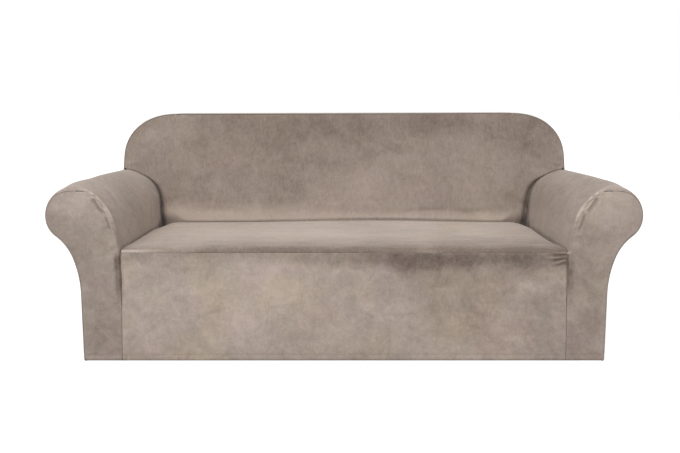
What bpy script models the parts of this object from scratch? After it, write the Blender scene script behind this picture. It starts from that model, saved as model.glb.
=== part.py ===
# A fitted slipcover for a roll-arm sofa, as a hollow shell of sewn velvet sheets.
# Each cut piece of cloth is one object: an outer surface with its thickness inwards.
# Sizes are worked out with the hem at z = 0 and the arm fronts at y = 0, +Y to the rear.
# Everything hangs from one empty that puts the part's origin under the top of the back.

import math

import bmesh
import bpy

CLOTH = 0.002              # thickness of the velvet
SEAM_GAP = 0.0005          # between the edges of two pieces sewn together
SEAM_FLAT = 0.0015         # flat strip beside a seam before a rim rounds over
TUCK_GAP = 0.0008          # between two faces that are pushed into a crease
DEPTH = 0.860              # arm fronts to the rear face

SEAT_HALF = 0.781          # middle to the upright seams beside the apron
SEAT_TOP = 0.400
FRONT_SEAM = 0.384         # seam under the front edge of the seat
SEAT_ROLL = 0.060          # where the seat starts to round over to that seam
SEAT_CROWN = 0.004

BACK_FOOT = 0.582          # arm fronts to the face of the back, at seat height
BACK_LEAN = 0.214          # rearward lean of that face for each metre of height
BACK_HALF = 0.955
BACK_TOP = 0.863
BACK_CROWN = 0.010
TOP_TILT = 0.003           # rise of the top edge for each metre to the right
CORNER = (0.227, 0.192)    # width and height of the elliptical top corners

TUCK_DEPTH = 0.040         # cloth pushed into each crease
TUCK_ROUND = 0.015
ARM_RIM = 0.020            # padded front edge of the arm, inside and on top
ARM_RIM_OUTER = 0.005      # the same edge on the outer side
ARM_RIM_LOW = 0.004        # and where it ends at the seat
BAND_ROUND = 0.004         # both edges of the band over the back
REAR_ROUND = 0.008         # edge between an arm and the rear face
HEM_ROUND = 0.008

ROLL_TOP = (0.940, 0.6195)  # x and z of the highest line of the right arm
HEM_TAPER = 0.007          # how much the straight run below the arm narrows by the hem
RIM_RISE = 0.130           # height over which the arm's padded edge grows from the seat up
TUCK_BOTTOM = 0.360
FLAP_SETBACK = 0.003       # the arm's flap below the front seam lies this far behind the front
EDGE_FADE = 0.080          # distance from a panel's edge over which its dents fade in
MITRE_GAP = 0.0005         # extra room where turned-under hems meet at a corner
# Outline of the arm on both sides of ROLL_TOP: radius, turn in degrees, steps.
ARM_INNER = ((0.050, 18, 2), (0.182, 56, 6), (0.634, 9, 3))
ARM_OUTER = ((0.105, 6, 1), (0.105, 89, 6), (0.094, 48, 4), (0.172, -31, 3), (0.370, -20, 3))
LINE_STEPS = 2             # straight run from the arcs down to the hem
HEM_STEPS = 3
CORNER_STEPS = 7

# Shallow hollows and swellings of the cloth: two places on the panel, depth, reach.
SEAT_DENTS = (
    # x, y, depth, reach
    (-0.42, 0.30, 0.004, 0.26),
    (0.36, 0.34, 0.005, 0.24),
    (0.66, 0.12, 0.004, 0.09),
    (-0.68, 0.16, -0.003, 0.10),
)
BACK_DENTS = (
    # x, z, depth, reach
    (-0.34, 0.60, 0.004, 0.20),
    (0.40, 0.56, 0.005, 0.22),
    (0.80, 0.69, 0.004, 0.06),
    (-0.82, 0.68, 0.003, 0.06),
    (0.05, 0.74, -0.003, 0.20),
)
APRON_DENTS = (
    # x, z, depth, reach
    (-0.70, 0.26, 0.003, 0.07),
    (0.69, 0.29, 0.004, 0.07),
    (0.30, 0.20, -0.003, 0.20),
    (-0.36, 0.16, 0.002, 0.18),
)
ARM_DENTS = {
    # y, z, depth, reach
    "left": ((0.30, 0.57, 0.003, 0.10), (0.46, 0.50, -0.002, 0.08)),
    "right": ((0.24, 0.56, 0.003, 0.09), (0.50, 0.52, 0.004, 0.07)),
}

MOUNT = (0.0, 0.770, BACK_TOP - CLOTH)  # where the sofa's top carries the cover

TAUPE = (0.36, 0.31, 0.27)
COLOURS = {
    "seat": (0.40, 0.35, 0.31),
    "apron": TAUPE,
    "back": (0.33, 0.285, 0.25),
    "band": (0.30, 0.26, 0.225),
    "arm": (0.35, 0.30, 0.265),
    "rear": (0.31, 0.27, 0.235),
}


def smooth(t):
    t = min(1.0, max(0.0, t))
    return t * t * (3 - 2 * t)


def mix(a, b, t):
    return a + (b - a) * t


def dent(table, a, b):
    total = 0.0
    for a0, b0, depth, reach in table:
        total += depth * math.exp(-((a - a0) ** 2 + (b - b0) ** 2) / reach**2)
    return total


def inwards(value, low, high):
    """0 at both ends of a span and 1 well inside it, so that edges keep their seams."""
    return smooth((value - low) / EDGE_FADE) * smooth((high - value) / EDGE_FADE)


def hem_inset(z):
    """How far the cloth has turned under at height z."""
    if z >= HEM_ROUND:
        return 0.0
    return HEM_ROUND - math.sqrt(HEM_ROUND**2 - (HEM_ROUND - z) ** 2)


def hem_heights():
    """The heights of the turned-under hem, from its edge up."""
    turns = [math.pi / 2 * k / HEM_STEPS for k in range(HEM_STEPS)]
    return [HEM_ROUND * (1 - math.cos(turn)) for turn in turns]


def back_face(z):
    return BACK_FOOT + BACK_LEAN * (z - SEAT_TOP)


def top_rise(x, z):
    """The back's top edge isn't quite level."""
    return TOP_TILT * x * smooth((z - ROLL_TOP[1]) / (BACK_TOP - ROLL_TOP[1]))


def arc_chain(start, heading, side, table):
    """Points along tangent arcs, clockwise for side 1 and the other way for side -1."""
    x, z = start
    points = []
    for radius, turn, steps in table:
        step = math.radians(turn) / steps
        chord = 2 * radius * math.sin(abs(step) / 2)
        for _ in range(steps):
            heading -= side * step / 2
            x += chord * math.cos(heading)
            z += chord * math.sin(heading)
            heading -= side * step / 2
            points.append((x, z))
    return points


def line_to(start, end, steps):
    return [
        (mix(start[0], end[0], k / steps), mix(start[1], end[1], k / steps))
        for k in range(1, steps + 1)
    ]


def arm_outline():
    """Section of the right arm's cloth: from the crease at the seat, over the roll, to the hem."""
    inner = arc_chain(ROLL_TOP, math.pi, -1, ARM_INNER)
    bottom = (SEAT_HALF + 0.001, TUCK_BOTTOM)
    share = (inner[-1][1] - FRONT_SEAM) / (inner[-1][1] - TUCK_BOTTOM)
    inner += [(mix(inner[-1][0], bottom[0], share), FRONT_SEAM), bottom]
    outer = arc_chain(ROLL_TOP, 0.0, 1, ARM_OUTER)
    foot = (outer[-1][0] - HEM_TAPER, HEM_ROUND)
    outer += line_to(outer[-1], foot, LINE_STEPS)
    outer += [(foot[0] - hem_inset(z), z) for z in reversed(hem_heights())]
    points = inner[::-1] + [ROLL_TOP] + outer
    return points, len(inner)


def outline_normals(points):
    """Unit normals that point out of the arm, one for each point, and level ones at the hem."""
    normals = []
    for k in range(len(points)):
        before = points[max(k - 1, 0)]
        after = points[min(k + 1, len(points) - 1)]
        along = (after[0] - before[0], after[1] - before[1])
        size = math.hypot(*along)
        normals.append((-along[1] / size, along[0] / size))
    normals[0] = (-1.0, 0.0)
    for k in range(len(points) - HEM_STEPS - 1, len(points)):
        normals[k] = (1.0, 0.0)
    return normals


OUTLINE, TOP_INDEX = arm_outline()
NORMALS = outline_normals(OUTLINE)
RIM_INDEX = 2               # the points before this one are the flap behind the arm's front
REAR_INDEX = TOP_INDEX + 1  # from here outwards the arm runs on to the rear face


def arm_rim(k):
    """Radius of the arm's front edge at point k of its outline."""
    across = NORMALS[k][0]
    if across > 0:
        return mix(ARM_RIM, ARM_RIM_OUTER, smooth(across))
    return mix(ARM_RIM_LOW, ARM_RIM, smooth((OUTLINE[k][1] - TUCK_BOTTOM) / RIM_RISE))


def inset_point(k, inset):
    x, z = OUTLINE[k]
    return x - NORMALS[k][0] * inset, z - NORMALS[k][1] * inset


def mitre_room(k):
    """Extra room beside the rim's two end corners."""
    return MITRE_GAP if OUTLINE[k][1] < HEM_ROUND or k == RIM_INDEX else 0.0


def inner_arm_x(z):
    """x of the right arm's inner face at height z, below the roll."""
    for k in range(TOP_INDEX):
        low, high = OUTLINE[k], OUTLINE[k + 1]
        if z <= high[1]:
            return mix(low[0], high[0], (z - low[1]) / (high[1] - low[1]))
    return ROLL_TOP[0]


def band_outline(inset):
    """Right half of the back's outline from above the arm to the middle of the top."""
    half, top = BACK_HALF - inset, BACK_TOP - inset
    wide, tall = CORNER[0] - inset, CORNER[1] - inset
    base = ROLL_TOP[1] + SEAM_GAP
    points = line_to((half, base), (half, top - tall), 2)
    points.insert(0, (half, base))
    for k in range(1, CORNER_STEPS + 1):
        turn = math.pi / 2 * k / CORNER_STEPS
        points.append((half - wide * (1 - math.cos(turn)), top - tall * (1 - math.sin(turn))))
    points += line_to(points[-1], (0.0, top), 4)
    return points


def velvet(name, colour):
    material = bpy.data.materials.new(name)
    material.use_nodes = True
    shader = material.node_tree.nodes["Principled BSDF"]
    shader.inputs["Base Color"].default_value = (*colour, 1.0)
    shader.inputs["Roughness"].default_value = 0.85
    shader.inputs["Metallic"].default_value = 0.0
    shader.inputs["Sheen Weight"].default_value = 0.4
    material.diffuse_color = (*colour, 1.0)
    return material


def cloth_sheet(name, columns, rows, place, colour, flip=False, cut=None):
    """A flat grid laid on place(i, j), with the cloth's thickness behind it."""
    sheet = bmesh.new()
    bmesh.ops.create_grid(sheet, x_segments=columns, y_segments=rows, size=0.5)
    index = {}
    for vert in sheet.verts:
        index[vert] = (round((vert.co.x + 0.5) * columns), round((vert.co.y + 0.5) * rows))
    if cut:
        spare = [
            face
            for face in sheet.faces
            if cut(min(index[v][0] for v in face.verts), min(index[v][1] for v in face.verts))
        ]
        bmesh.ops.delete(sheet, geom=spare, context="FACES")
    for vert in sheet.verts:
        vert.co = place(*index[vert])
    if flip:
        bmesh.ops.reverse_faces(sheet, faces=sheet.faces[:])
    mesh = bpy.data.meshes.new(name)
    sheet.to_mesh(mesh)
    sheet.free()
    mesh.shade_smooth()
    mesh.materials.append(velvet(name, COLOURS[colour]))
    piece = bpy.data.objects.new(name, mesh)
    parts.objects.link(piece)
    piece.parent = cover
    wall = piece.modifiers.new("Cloth", "SOLIDIFY")
    wall.thickness = CLOTH
    wall.offset = -1.0
    return piece


def rim_turn(k, steps, radius):
    """Inset and setback at step k of a rounded rim: a flat seam strip, then a quarter turn."""
    if k == 0:
        return radius + SEAM_GAP / 2, 0.0
    curve = radius - SEAM_FLAT
    turn = math.pi / 2 * (k - 1) / (steps - 1)
    return curve * (1 - math.sin(turn)), curve * (1 - math.cos(turn))


def arm_panel(side, name):
    """Inner face, roll and outer face of an arm, cut in one piece."""
    rim_steps, run_steps, rear_steps = 4, 4, 3
    rows = rim_steps + run_steps + rear_steps

    def place(k, j):
        x, z = OUTLINE[k]
        front = hem_inset(z)
        if k < RIM_INDEX:
            start = mix(FLAP_SETBACK, 2 * FLAP_SETBACK, j / rim_steps)
            if j < rim_steps:
                return side * x, start, z
        else:
            inset, setback = rim_turn(min(j, rim_steps), rim_steps, arm_rim(k) - SEAM_GAP)
            start = front + setback
            if j < rim_steps:
                x, z = inset_point(k, inset)
                return side * x, start, z
        if k < REAR_INDEX:
            crease = back_face(z)
            last = crease + TUCK_ROUND + TUCK_DEPTH
            if j <= rim_steps + run_steps:
                y = mix(start, crease, (j - rim_steps) / run_steps)
            else:
                y = mix(crease, last, (j - rim_steps - run_steps) / rear_steps)
        elif j < rows - rear_steps:
            y = mix(start, DEPTH - REAR_ROUND, (j - rim_steps) / run_steps)
        else:
            inset, setback = rim_turn(rows - j, rear_steps, REAR_ROUND - SEAM_GAP)
            x, z = inset_point(k, inset)
            return side * x, DEPTH - front - setback, z
        free = inwards(y, 0.06, BACK_FOOT - 0.05) * smooth((z - SEAT_TOP) / EDGE_FADE)
        push = free * dent(ARM_DENTS[side_word(side)], y, z)
        x, z = inset_point(k, push)
        return side * x, y, z

    def cut(k, j):
        return k == TOP_INDEX and j >= rim_steps + run_steps

    cloth_sheet(name, len(OUTLINE) - 1, rows, place, "arm", flip=side < 0, cut=cut)


def side_word(side):
    return "right" if side > 0 else "left"


def arm_front_panel(side, name):
    """Front of an arm: from the upright seam to the outer edge, up to the top of the roll."""
    columns = 4
    inner_run = [(SEAT_HALF + SEAM_GAP / 2, z) for z in hem_heights() + [HEM_ROUND]]
    count = len(OUTLINE) - 1 - TOP_INDEX
    upright = count - TOP_INDEX - HEM_STEPS
    inner_run += line_to(inner_run[-1], (inner_run[-1][0], TUCK_BOTTOM), upright)
    inner_run.append((OUTLINE[1][0] + 4 * SEAM_GAP, FRONT_SEAM))
    rim = [
        inset_point(k, arm_rim(k) + SEAM_GAP / 2 + mitre_room(k)) for k in range(len(OUTLINE))
    ]
    inner_run += rim[RIM_INDEX:TOP_INDEX]
    outer_run = rim[:TOP_INDEX:-1]
    peak = rim[TOP_INDEX]
    rows = count - 1

    def place(i, j):
        inner, outer = inner_run[j], outer_run[j]
        across = i / columns
        x, z = mix(inner[0], outer[0], across), mix(inner[1], outer[1], across)
        if j == rows:
            ends = (inner, peak) if across <= 0.5 else (peak, outer)
            part = across * 2 if across <= 0.5 else across * 2 - 1
            x, z = mix(ends[0][0], ends[1][0], part), mix(ends[0][1], ends[1][1], part)
        return side * x, hem_inset(z), z

    cloth_sheet(name, columns, rows, place, "arm", flip=side < 0)


def front_panel():
    """The apron below the seat, between the two upright seams."""
    columns, rows = 14, 8
    heights = hem_heights() + [
        mix(HEM_ROUND, FRONT_SEAM - SEAM_GAP / 2, k / (rows - HEM_STEPS))
        for k in range(rows - HEM_STEPS + 1)
    ]
    half = SEAT_HALF - SEAM_GAP / 2

    def place(i, j):
        x, z = mix(-half, half, i / columns), heights[j]
        free = inwards(x, -half, half) * inwards(z, 0.0, FRONT_SEAM)
        return x, hem_inset(z) + free * dent(APRON_DENTS, x, z), z

    cloth_sheet("front_panel", columns, rows, place, "apron")


def seat_panel():
    """Top of the seat: rounds over to the front seam, and is pushed down at sides and rear."""
    roll, curl, flap = 5, 3, 1
    border = curl + flap
    flap_start = 3  # the side flaps begin behind the apron
    inner_columns, inner_rows = 12, 5
    columns = inner_columns + 2 * border
    rows = roll + inner_rows + border
    rear = back_face(SEAT_TOP) - TUCK_GAP - TUCK_ROUND

    def tuck(step):
        """Outward reach and drop of the pushed-in edge after some steps."""
        if step <= curl:
            turn = math.pi / 2 * step / curl
            return TUCK_ROUND * math.sin(turn), TUCK_ROUND * (1 - math.cos(turn))
        return TUCK_ROUND, TUCK_ROUND + (TUCK_DEPTH - TUCK_ROUND) * (step - curl) / flap

    def place(i, j):
        a = min(max(i, border), columns - border)
        b = min(j, rows - border)
        half = SEAT_HALF - TUCK_ROUND
        x = mix(-half, half, (a - border) / inner_columns)
        y = mix(SEAT_ROLL, rear, (b - roll) / inner_rows)
        z = SEAT_TOP
        if b < roll:
            turn = math.pi / 2 * max(0, b - 1) / (roll - 1)
            low = FRONT_SEAM + (SEAM_FLAT if b else SEAM_GAP / 2)
            y = SEAT_ROLL * (1 - math.cos(turn))
            z = mix(low, SEAT_TOP, math.sin(turn))
        free = inwards(x, -half, half) * inwards(y, 0.0, rear)
        z += free * (SEAT_CROWN - dent(SEAT_DENTS, x, y))
        step = max(abs(i - a), j - b)
        if step:
            size = math.hypot(i - a, j - b)
            reach, drop = tuck(step)
            x += reach * (i - a) / size
            y += reach * (j - b) / size
            if j >= flap_start:
                z -= drop * (z - TUCK_BOTTOM) / (SEAT_TOP - TUCK_BOTTOM)
            if i != a:
                wall = inner_arm_x(z) - TUCK_GAP - SEAT_HALF
                x += math.copysign(wall * abs(i - a) / size * reach / TUCK_ROUND, x)
            if j > b:
                wall = BACK_LEAN * (z - SEAT_TOP)
                y += wall * (j - b) / size * reach / TUCK_ROUND
        return x, y, z

    def cut(i, j):
        return j < flap_start and (i < flap or i >= columns - flap)

    cloth_sheet("seat_panel", columns, rows, place, "seat", cut=cut)


def inside_back_panel():
    """Face of the back: tucked in beside the arms and below the seat, seamed to the band above."""
    curl, flap = 3, 1
    border = curl + flap
    inner_columns = 10
    columns = inner_columns + 2 * border
    edge = band_outline(BAND_ROUND + SEAM_GAP)
    above = edge[1 : -4]
    rows = TOP_INDEX + len(above)

    def place(i, j):
        a = min(max(i, border), columns - border)
        step = abs(i - a)
        across = (a - border) / inner_columns * 2 - 1
        side = math.copysign(1, i - columns / 2)
        if j <= TOP_INDEX:
            normal = NORMALS[j]
            level = smooth(normal[1])
            radius = mix(TUCK_ROUND, ARM_RIM_LOW, level)
            ex, ez = inset_point(j, -TUCK_GAP)
            x = (ex + normal[0] * radius) * across
            z = ez + normal[1] * radius
            y = back_face(z)
            if step:
                turn = math.pi / 2 * min(step, curl) / curl
                x = side * (ex + normal[0] * radius * (1 - math.sin(turn)))
                z = ez + normal[1] * radius * (1 - math.sin(turn))
                y = back_face(z) + radius * (1 - math.cos(turn))
                y += mix(TUCK_DEPTH, BAND_ROUND, level) * max(0, step - curl) / flap
        else:
            ex, z = above[j - TOP_INDEX - 1]
            inner = ex - EDGE_FADE
            x = inner * across
            if step:
                x = side * mix(inner, ex, step / border)
            y = back_face(z)
        reach = min(inner_arm_x(z), BACK_HALF) - 2 * TUCK_ROUND
        free = inwards(x, -reach, reach) * inwards(z, SEAT_TOP, BACK_TOP)
        if step == 0:
            y -= free * (BACK_CROWN - dent(BACK_DENTS, x, z))
        return x, y, z + top_rise(x, z)

    cloth_sheet("inside_back_panel", columns, rows, place, "back")


def full_outline(half_points):
    """The right half with its mirror image, from the left arm to the right arm."""
    left = [(-x, z) for x, z in half_points[:-1]]
    return left + half_points[::-1]


def back_band():
    """Strip over the sides and top of the back, between its face and the outside back."""
    front_steps, run_steps, rear_steps = 3, 1, 3
    rows = front_steps + run_steps + rear_steps
    edge = full_outline(band_outline(0.0))
    inner = full_outline(band_outline(BAND_ROUND))

    def place(i, j):
        x, z = edge[i]
        if j <= front_steps:
            inset, setback = rim_turn(j, front_steps, BAND_ROUND - SEAM_GAP)
            y = back_face(z) + setback
        else:
            inset, setback = rim_turn(rows - j, rear_steps, BAND_ROUND - SEAM_GAP)
            y = DEPTH - setback
        far = inset / BAND_ROUND
        x, z = mix(x, inner[i][0], far), mix(z, inner[i][1], far)
        return x, y, z + top_rise(x, z)

    cloth_sheet("back_band", len(edge) - 1, rows, place, "band")


def outside_back_panel():
    """The whole rear face, from the hem round the arms and up to the top of the back."""
    columns = 8
    inset = REAR_ROUND + SEAM_GAP
    edge = [
        inset_point(k, inset + mitre_room(k)) for k in range(len(OUTLINE) - 1, REAR_INDEX - 1, -1)
    ]
    above = band_outline(BAND_ROUND + SEAM_GAP)[:-4]
    above[0] = (BACK_HALF - inset, above[0][1])  # clear of the arm's cloth below it
    edge += above
    rows = len(edge) - 1

    def place(i, j):
        x, z = edge[j]
        x *= 1 - 2 * i / columns
        return x, DEPTH - hem_inset(z), z + top_rise(x, z)

    cloth_sheet("outside_back_panel", columns, rows, place, "rear")


for old in list(bpy.data.objects):
    bpy.data.objects.remove(old)
parts = bpy.data.collections.new("Sofa slipcover")
bpy.context.scene.collection.children.link(parts)
cover = bpy.data.objects.new("slipcover_frame", None)
cover.location = tuple(-value for value in MOUNT)
parts.objects.link(cover)

seat_panel()
front_panel()
inside_back_panel()
back_band()
outside_back_panel()
for side in (-1, 1):
    word = side_word(side)
    arm_panel(side, f"arm_panel_{word}")
    arm_front_panel(side, f"arm_front_panel_{word}")
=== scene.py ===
import math
import bpy
import numpy as np
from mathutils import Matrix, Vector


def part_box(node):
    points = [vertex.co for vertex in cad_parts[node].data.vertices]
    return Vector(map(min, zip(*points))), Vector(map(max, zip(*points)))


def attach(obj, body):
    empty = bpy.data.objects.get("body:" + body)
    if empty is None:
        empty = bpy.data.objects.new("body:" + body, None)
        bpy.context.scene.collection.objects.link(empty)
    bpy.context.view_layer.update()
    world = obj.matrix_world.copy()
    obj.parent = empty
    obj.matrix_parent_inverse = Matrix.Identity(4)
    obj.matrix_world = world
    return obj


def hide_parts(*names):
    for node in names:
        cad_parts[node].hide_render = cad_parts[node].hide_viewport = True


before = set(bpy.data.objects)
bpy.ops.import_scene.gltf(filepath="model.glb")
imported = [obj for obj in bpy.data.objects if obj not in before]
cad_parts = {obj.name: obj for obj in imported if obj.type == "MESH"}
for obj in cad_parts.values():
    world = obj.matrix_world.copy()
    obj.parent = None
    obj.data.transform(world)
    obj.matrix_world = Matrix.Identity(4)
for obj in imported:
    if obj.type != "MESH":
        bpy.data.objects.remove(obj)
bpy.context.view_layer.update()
print("frame loaded")

# The cover's own measures, in metres: x from its middle, y from the arm fronts, z from the hem.
form = {
    "cloth": 0.0016,         # thickness of the velvet
    "seamGap": 0.0005,       # between two pieces sewn together
    "seamCurl": 0.0012,      # how tightly an edge rolls into its seam
    "allowance": 0.0055,     # cloth behind a seam
    "creaseShade": 0.55,     # how much painted shade darkens the cloth in a tuck
    "spacing": 0.0066,       # size of the mesh's squares
    "rearSpacing": 0.0090,   # and on the rear panel
    "arcStep": 0.002,        # length of the steps along the arms' arcs
    "depth": 0.860,
    "seatHalf": 0.781,       # half the seat's width
    "seatTop": 0.400,
    "frontSeam": 0.384,
    "tuckBottom": 0.360,     # lowest line of the cloth tucked in beside the seat
    "tuckGap": 0.0008,       # between cloths that lie tucked together
    "backFoot": 0.582,       # where the back's face meets the seat
    "backLean": 0.214,       # and how far it leans back for each metre up
    "backHalf": 0.955,
    "backTop": 0.863,
    "topTilt": 0.003,        # how far the top rises for each metre to the right
    "corner": (0.227, 0.192),    # width and height of the back's round corners
    "fullness": 0.89,        # of the back's corners; 1 makes them a plain ellipse
    "bandRound": 0.004,
    "rearRound": 0.008,
    "hemRound": 0.008,
    "hemStitch": 0.0226,     # height of the hem's stitching
    "hemDent": 0.0006,       # and how deep it pulls the velvet in
}
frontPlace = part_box("arm_front_panel_right")[0].y
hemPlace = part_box("arm_front_panel_right")[0].z
ringCount = 10               # rings of faces in every turned edge
halfSeam = form["seamGap"] / 2
armSides = {"left": -1, "right": 1}


def smooth(t):
    t = np.clip(t, 0.0, 1.0)
    return t * t * (3.0 - 2.0 * t)


def mix(a, b, t):
    return a + (b - a) * t


def unit(vectors):
    return vectors / np.maximum(np.linalg.norm(vectors, axis=-1, keepdims=True), 1e-12)


def even(points, spacing=None, count=None):
    # the same line with its points at equal distances
    points = np.asarray(points, float)
    along = np.concatenate([[0.0], np.cumsum(np.linalg.norm(np.diff(points, axis=0), axis=1))])
    steps = count or max(2, round(along[-1] / spacing))
    at = np.linspace(0.0, along[-1], steps + 1)
    return np.stack([np.interp(at, along, points[:, k]) for k in range(points.shape[1])], axis=1)


def arcRun(start, heading, side, arcs):
    # points along tangent arcs, each given by its radius and its turn in degrees
    x, z = start
    run = [(x, z)]
    for radius, degrees in arcs:
        steps = max(2, math.ceil(radius * math.radians(abs(degrees)) / form["arcStep"]))
        turn = math.radians(degrees) / steps
        chord = 2 * radius * math.sin(abs(turn) / 2)
        for _ in range(steps):
            heading -= side * turn / 2
            x += chord * math.cos(heading)
            z += chord * math.sin(heading)
            heading -= side * turn / 2
            run.append((x, z))
    return run


def backFace(z):
    return form["backFoot"] + form["backLean"] * (z - form["seatTop"])


def topRise(x, z):
    low = armShape["rollTop"][1]
    return form["topTilt"] * x * smooth((z - low) / (form["backTop"] - low))


# Relief of the cloth. Every table row is one mark.


def hollows(a, b, rows):
    # soft round hollows (negative) and swellings: place, reach both ways, depth
    total = np.zeros(np.broadcast(a, b).shape)
    for a0, b0, reachA, reachB, depth in rows:
        total += depth * np.exp(-(((a - a0) / reachA) ** 2) - ((b - b0) / reachB) ** 2)
    return total


def lineDistance(a, b, line):
    # distance to a line, and how far along it the nearest point is
    nearest = np.full(np.broadcast(a, b).shape, 1e9)
    place = np.zeros_like(nearest)
    steps = len(line) - 1
    for k in range(steps):
        (a0, b0), (a1, b1) = line[k], line[k + 1]
        da, db = a1 - a0, b1 - b0
        t = np.clip(((a - a0) * da + (b - b0) * db) / max(da * da + db * db, 1e-12), 0, 1)
        far = np.hypot(a - a0 - t * da, b - b0 - t * db)
        closer = far < nearest
        nearest = np.where(closer, far, nearest)
        place = np.where(closer, (k + t) / steps, place)
    return nearest, place


def creases(a, b, rows):
    # troughs (negative) and ridges: two ends, bow, width, depth, and the share over which each end fades
    total = np.zeros(np.broadcast(a, b).shape)
    for a0, b0, a1, b1, bow, width, depth, headFade, tailFade in rows:
        line = []
        for t in np.linspace(0, 1, 9):
            off = 4 * bow * t * (1 - t)
            line.append((mix(a0, a1, t) - (b1 - b0) * off, mix(b0, b1, t) + (a1 - a0) * off))
        far, t = lineDistance(a, b, line)
        strength = smooth((t + 1e-6) / max(headFade, 1e-6)) * smooth((1 - t) / max(tailFade, 1e-6))
        total += depth * strength * np.exp(-((far / width) ** 2))
    return total


creaseShading = 70.0            # painted shade in creases, highlight on ridges, for each metre deep or high
hemShading = 90.0               # and the painted shade for each metre that the hem's stitching pulls in


def swell(a, b, seed, size, height):
    # slow uneven swelling from a few crossed waves
    pick = np.random.default_rng(seed)
    total = np.zeros(np.broadcast(a, b).shape)
    waves = 7
    for _ in range(waves):
        turn, phase = pick.uniform(0, 2 * math.pi, 2)
        wave = 2 * math.pi / (size * pick.uniform(0.6, 1.7))
        total += np.sin(wave * (a * math.cos(turn) + b * math.sin(turn)) + phase)
    return height * total / (waves / 2)


def spread(count, pull=0.0):
    # even steps from 0 to 1, drawn towards both ends by the pull
    t = np.linspace(0, 1, count + 1)
    return t - pull * np.sin(2 * math.pi * t)


def inwards(value, low, high, fade=0.080):
    return smooth((value - low) / fade) * smooth((high - value) / fade)


def hemDent(z):
    return form["hemDent"] * np.exp(-(((z - form["hemStitch"]) / 0.0030) ** 2))


# Turned edges: for every ring the way outwards along the cloth, the way down behind it, and how
# deep it lies hidden, which sets the painted shade on it.


def asColumns(*sizes):
    return [np.atleast_1d(size).astype(float)[:, None] for size in sizes]


def seamEdge(curl, tail, lean=0.0):
    curl, tail, lean = asColumns(curl, tail, lean)
    turn, run = np.linspace(0, math.pi / 2, 6)[1:], np.linspace(0, 1, 6)[1:]
    out = np.concatenate([curl * np.sin(turn), curl + lean * run], axis=1)
    down = np.concatenate([curl * (1 - np.cos(turn)), curl + tail * run], axis=1)
    return np.stack([out, down, down], axis=2)


def rimEdge(radius, curl, tail, lip=0.0):
    radius, curl, tail, lip = asColumns(radius, curl, tail, lip)
    turn, bend = np.linspace(0, math.pi / 2, 6)[1:], np.linspace(0, math.pi / 2, 4)[1:]
    run = np.array([0.5, 1.0])
    raised = lip * smooth((turn - 0.9) / 0.6)
    out = [radius * np.sin(turn) + raised, radius + lip - curl * (1 - np.cos(bend))]
    out.append(radius + lip - curl - (tail + lip) * run)
    down = [radius * (1 - np.cos(turn)), radius + curl * np.sin(bend), radius + curl + 0 * run]
    shape = (max(len(radius), len(lip)), 1)
    out = np.concatenate([v * np.ones(shape) for v in out], axis=1)
    down = np.concatenate([v * np.ones(shape) for v in down], axis=1)
    # only what lies behind the rounding takes painted shade
    return np.stack([out, down, np.maximum(down - radius, 0)], axis=2)


def tuckEdge(radius, flap, lean=0.0, dark=1.0):
    # dark scales the painted shade that the tuck takes
    radius, flap, lean, dark = asColumns(radius, flap, lean, dark)
    turn, run = np.linspace(0, math.pi / 2, 7)[1:], np.linspace(0, 1, 5)[1:]
    radius = radius + 0 * lean
    out = np.concatenate([radius * np.sin(turn), radius + lean * run], axis=1)
    down = np.concatenate([radius * (1 - np.cos(turn)), radius + flap * run], axis=1)
    return np.stack([out, down, down * dark], axis=2)


def hemEdge():
    # a quarter turn under, a small turn back up, and the hem's free edge behind the cloth
    big, small = form["hemRound"], 0.003
    turn, bend = np.linspace(0, math.pi / 2, 5)[1:], np.array([math.pi / 4, math.pi / 2])
    run = np.linspace(0, 1, 5)[1:]
    out = np.concatenate([big * np.sin(turn), big - small + small * np.cos(bend), 0.005 - 0.021 * run])
    down = np.concatenate(
        [big * (1 - np.cos(turn)), big + small * np.sin(bend), mix(0.011, 0.0042, smooth(run * 1.3))]
    )
    # the hem's underside takes a little painted shade
    return np.stack([out, down, 0.4 * down], axis=1)[None]


def flatEdge(reach):
    run = np.linspace(0, 1, ringCount + 1)[1:]
    return np.stack([reach * run, 0 * run, 0 * run], axis=1)[None]


def loopAround(rows, columns):
    # row and column of every point on the grid's border, counterclockwise
    low = [(0, c) for c in range(columns)]
    right = [(r, columns - 1) for r in range(1, rows)]
    high = [(rows - 1, c) for c in range(columns - 2, -1, -1)]
    left = [(r, 0) for r in range(rows - 2, 0, -1)]
    return np.array(low + right + high + left)


def gridNormals(grid, turned):
    side = -1.0 if turned else 1.0
    across, along = np.gradient(grid, axis=1), np.gradient(grid, axis=0)
    return side * unit(np.cross(across, along)), across, along


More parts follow.
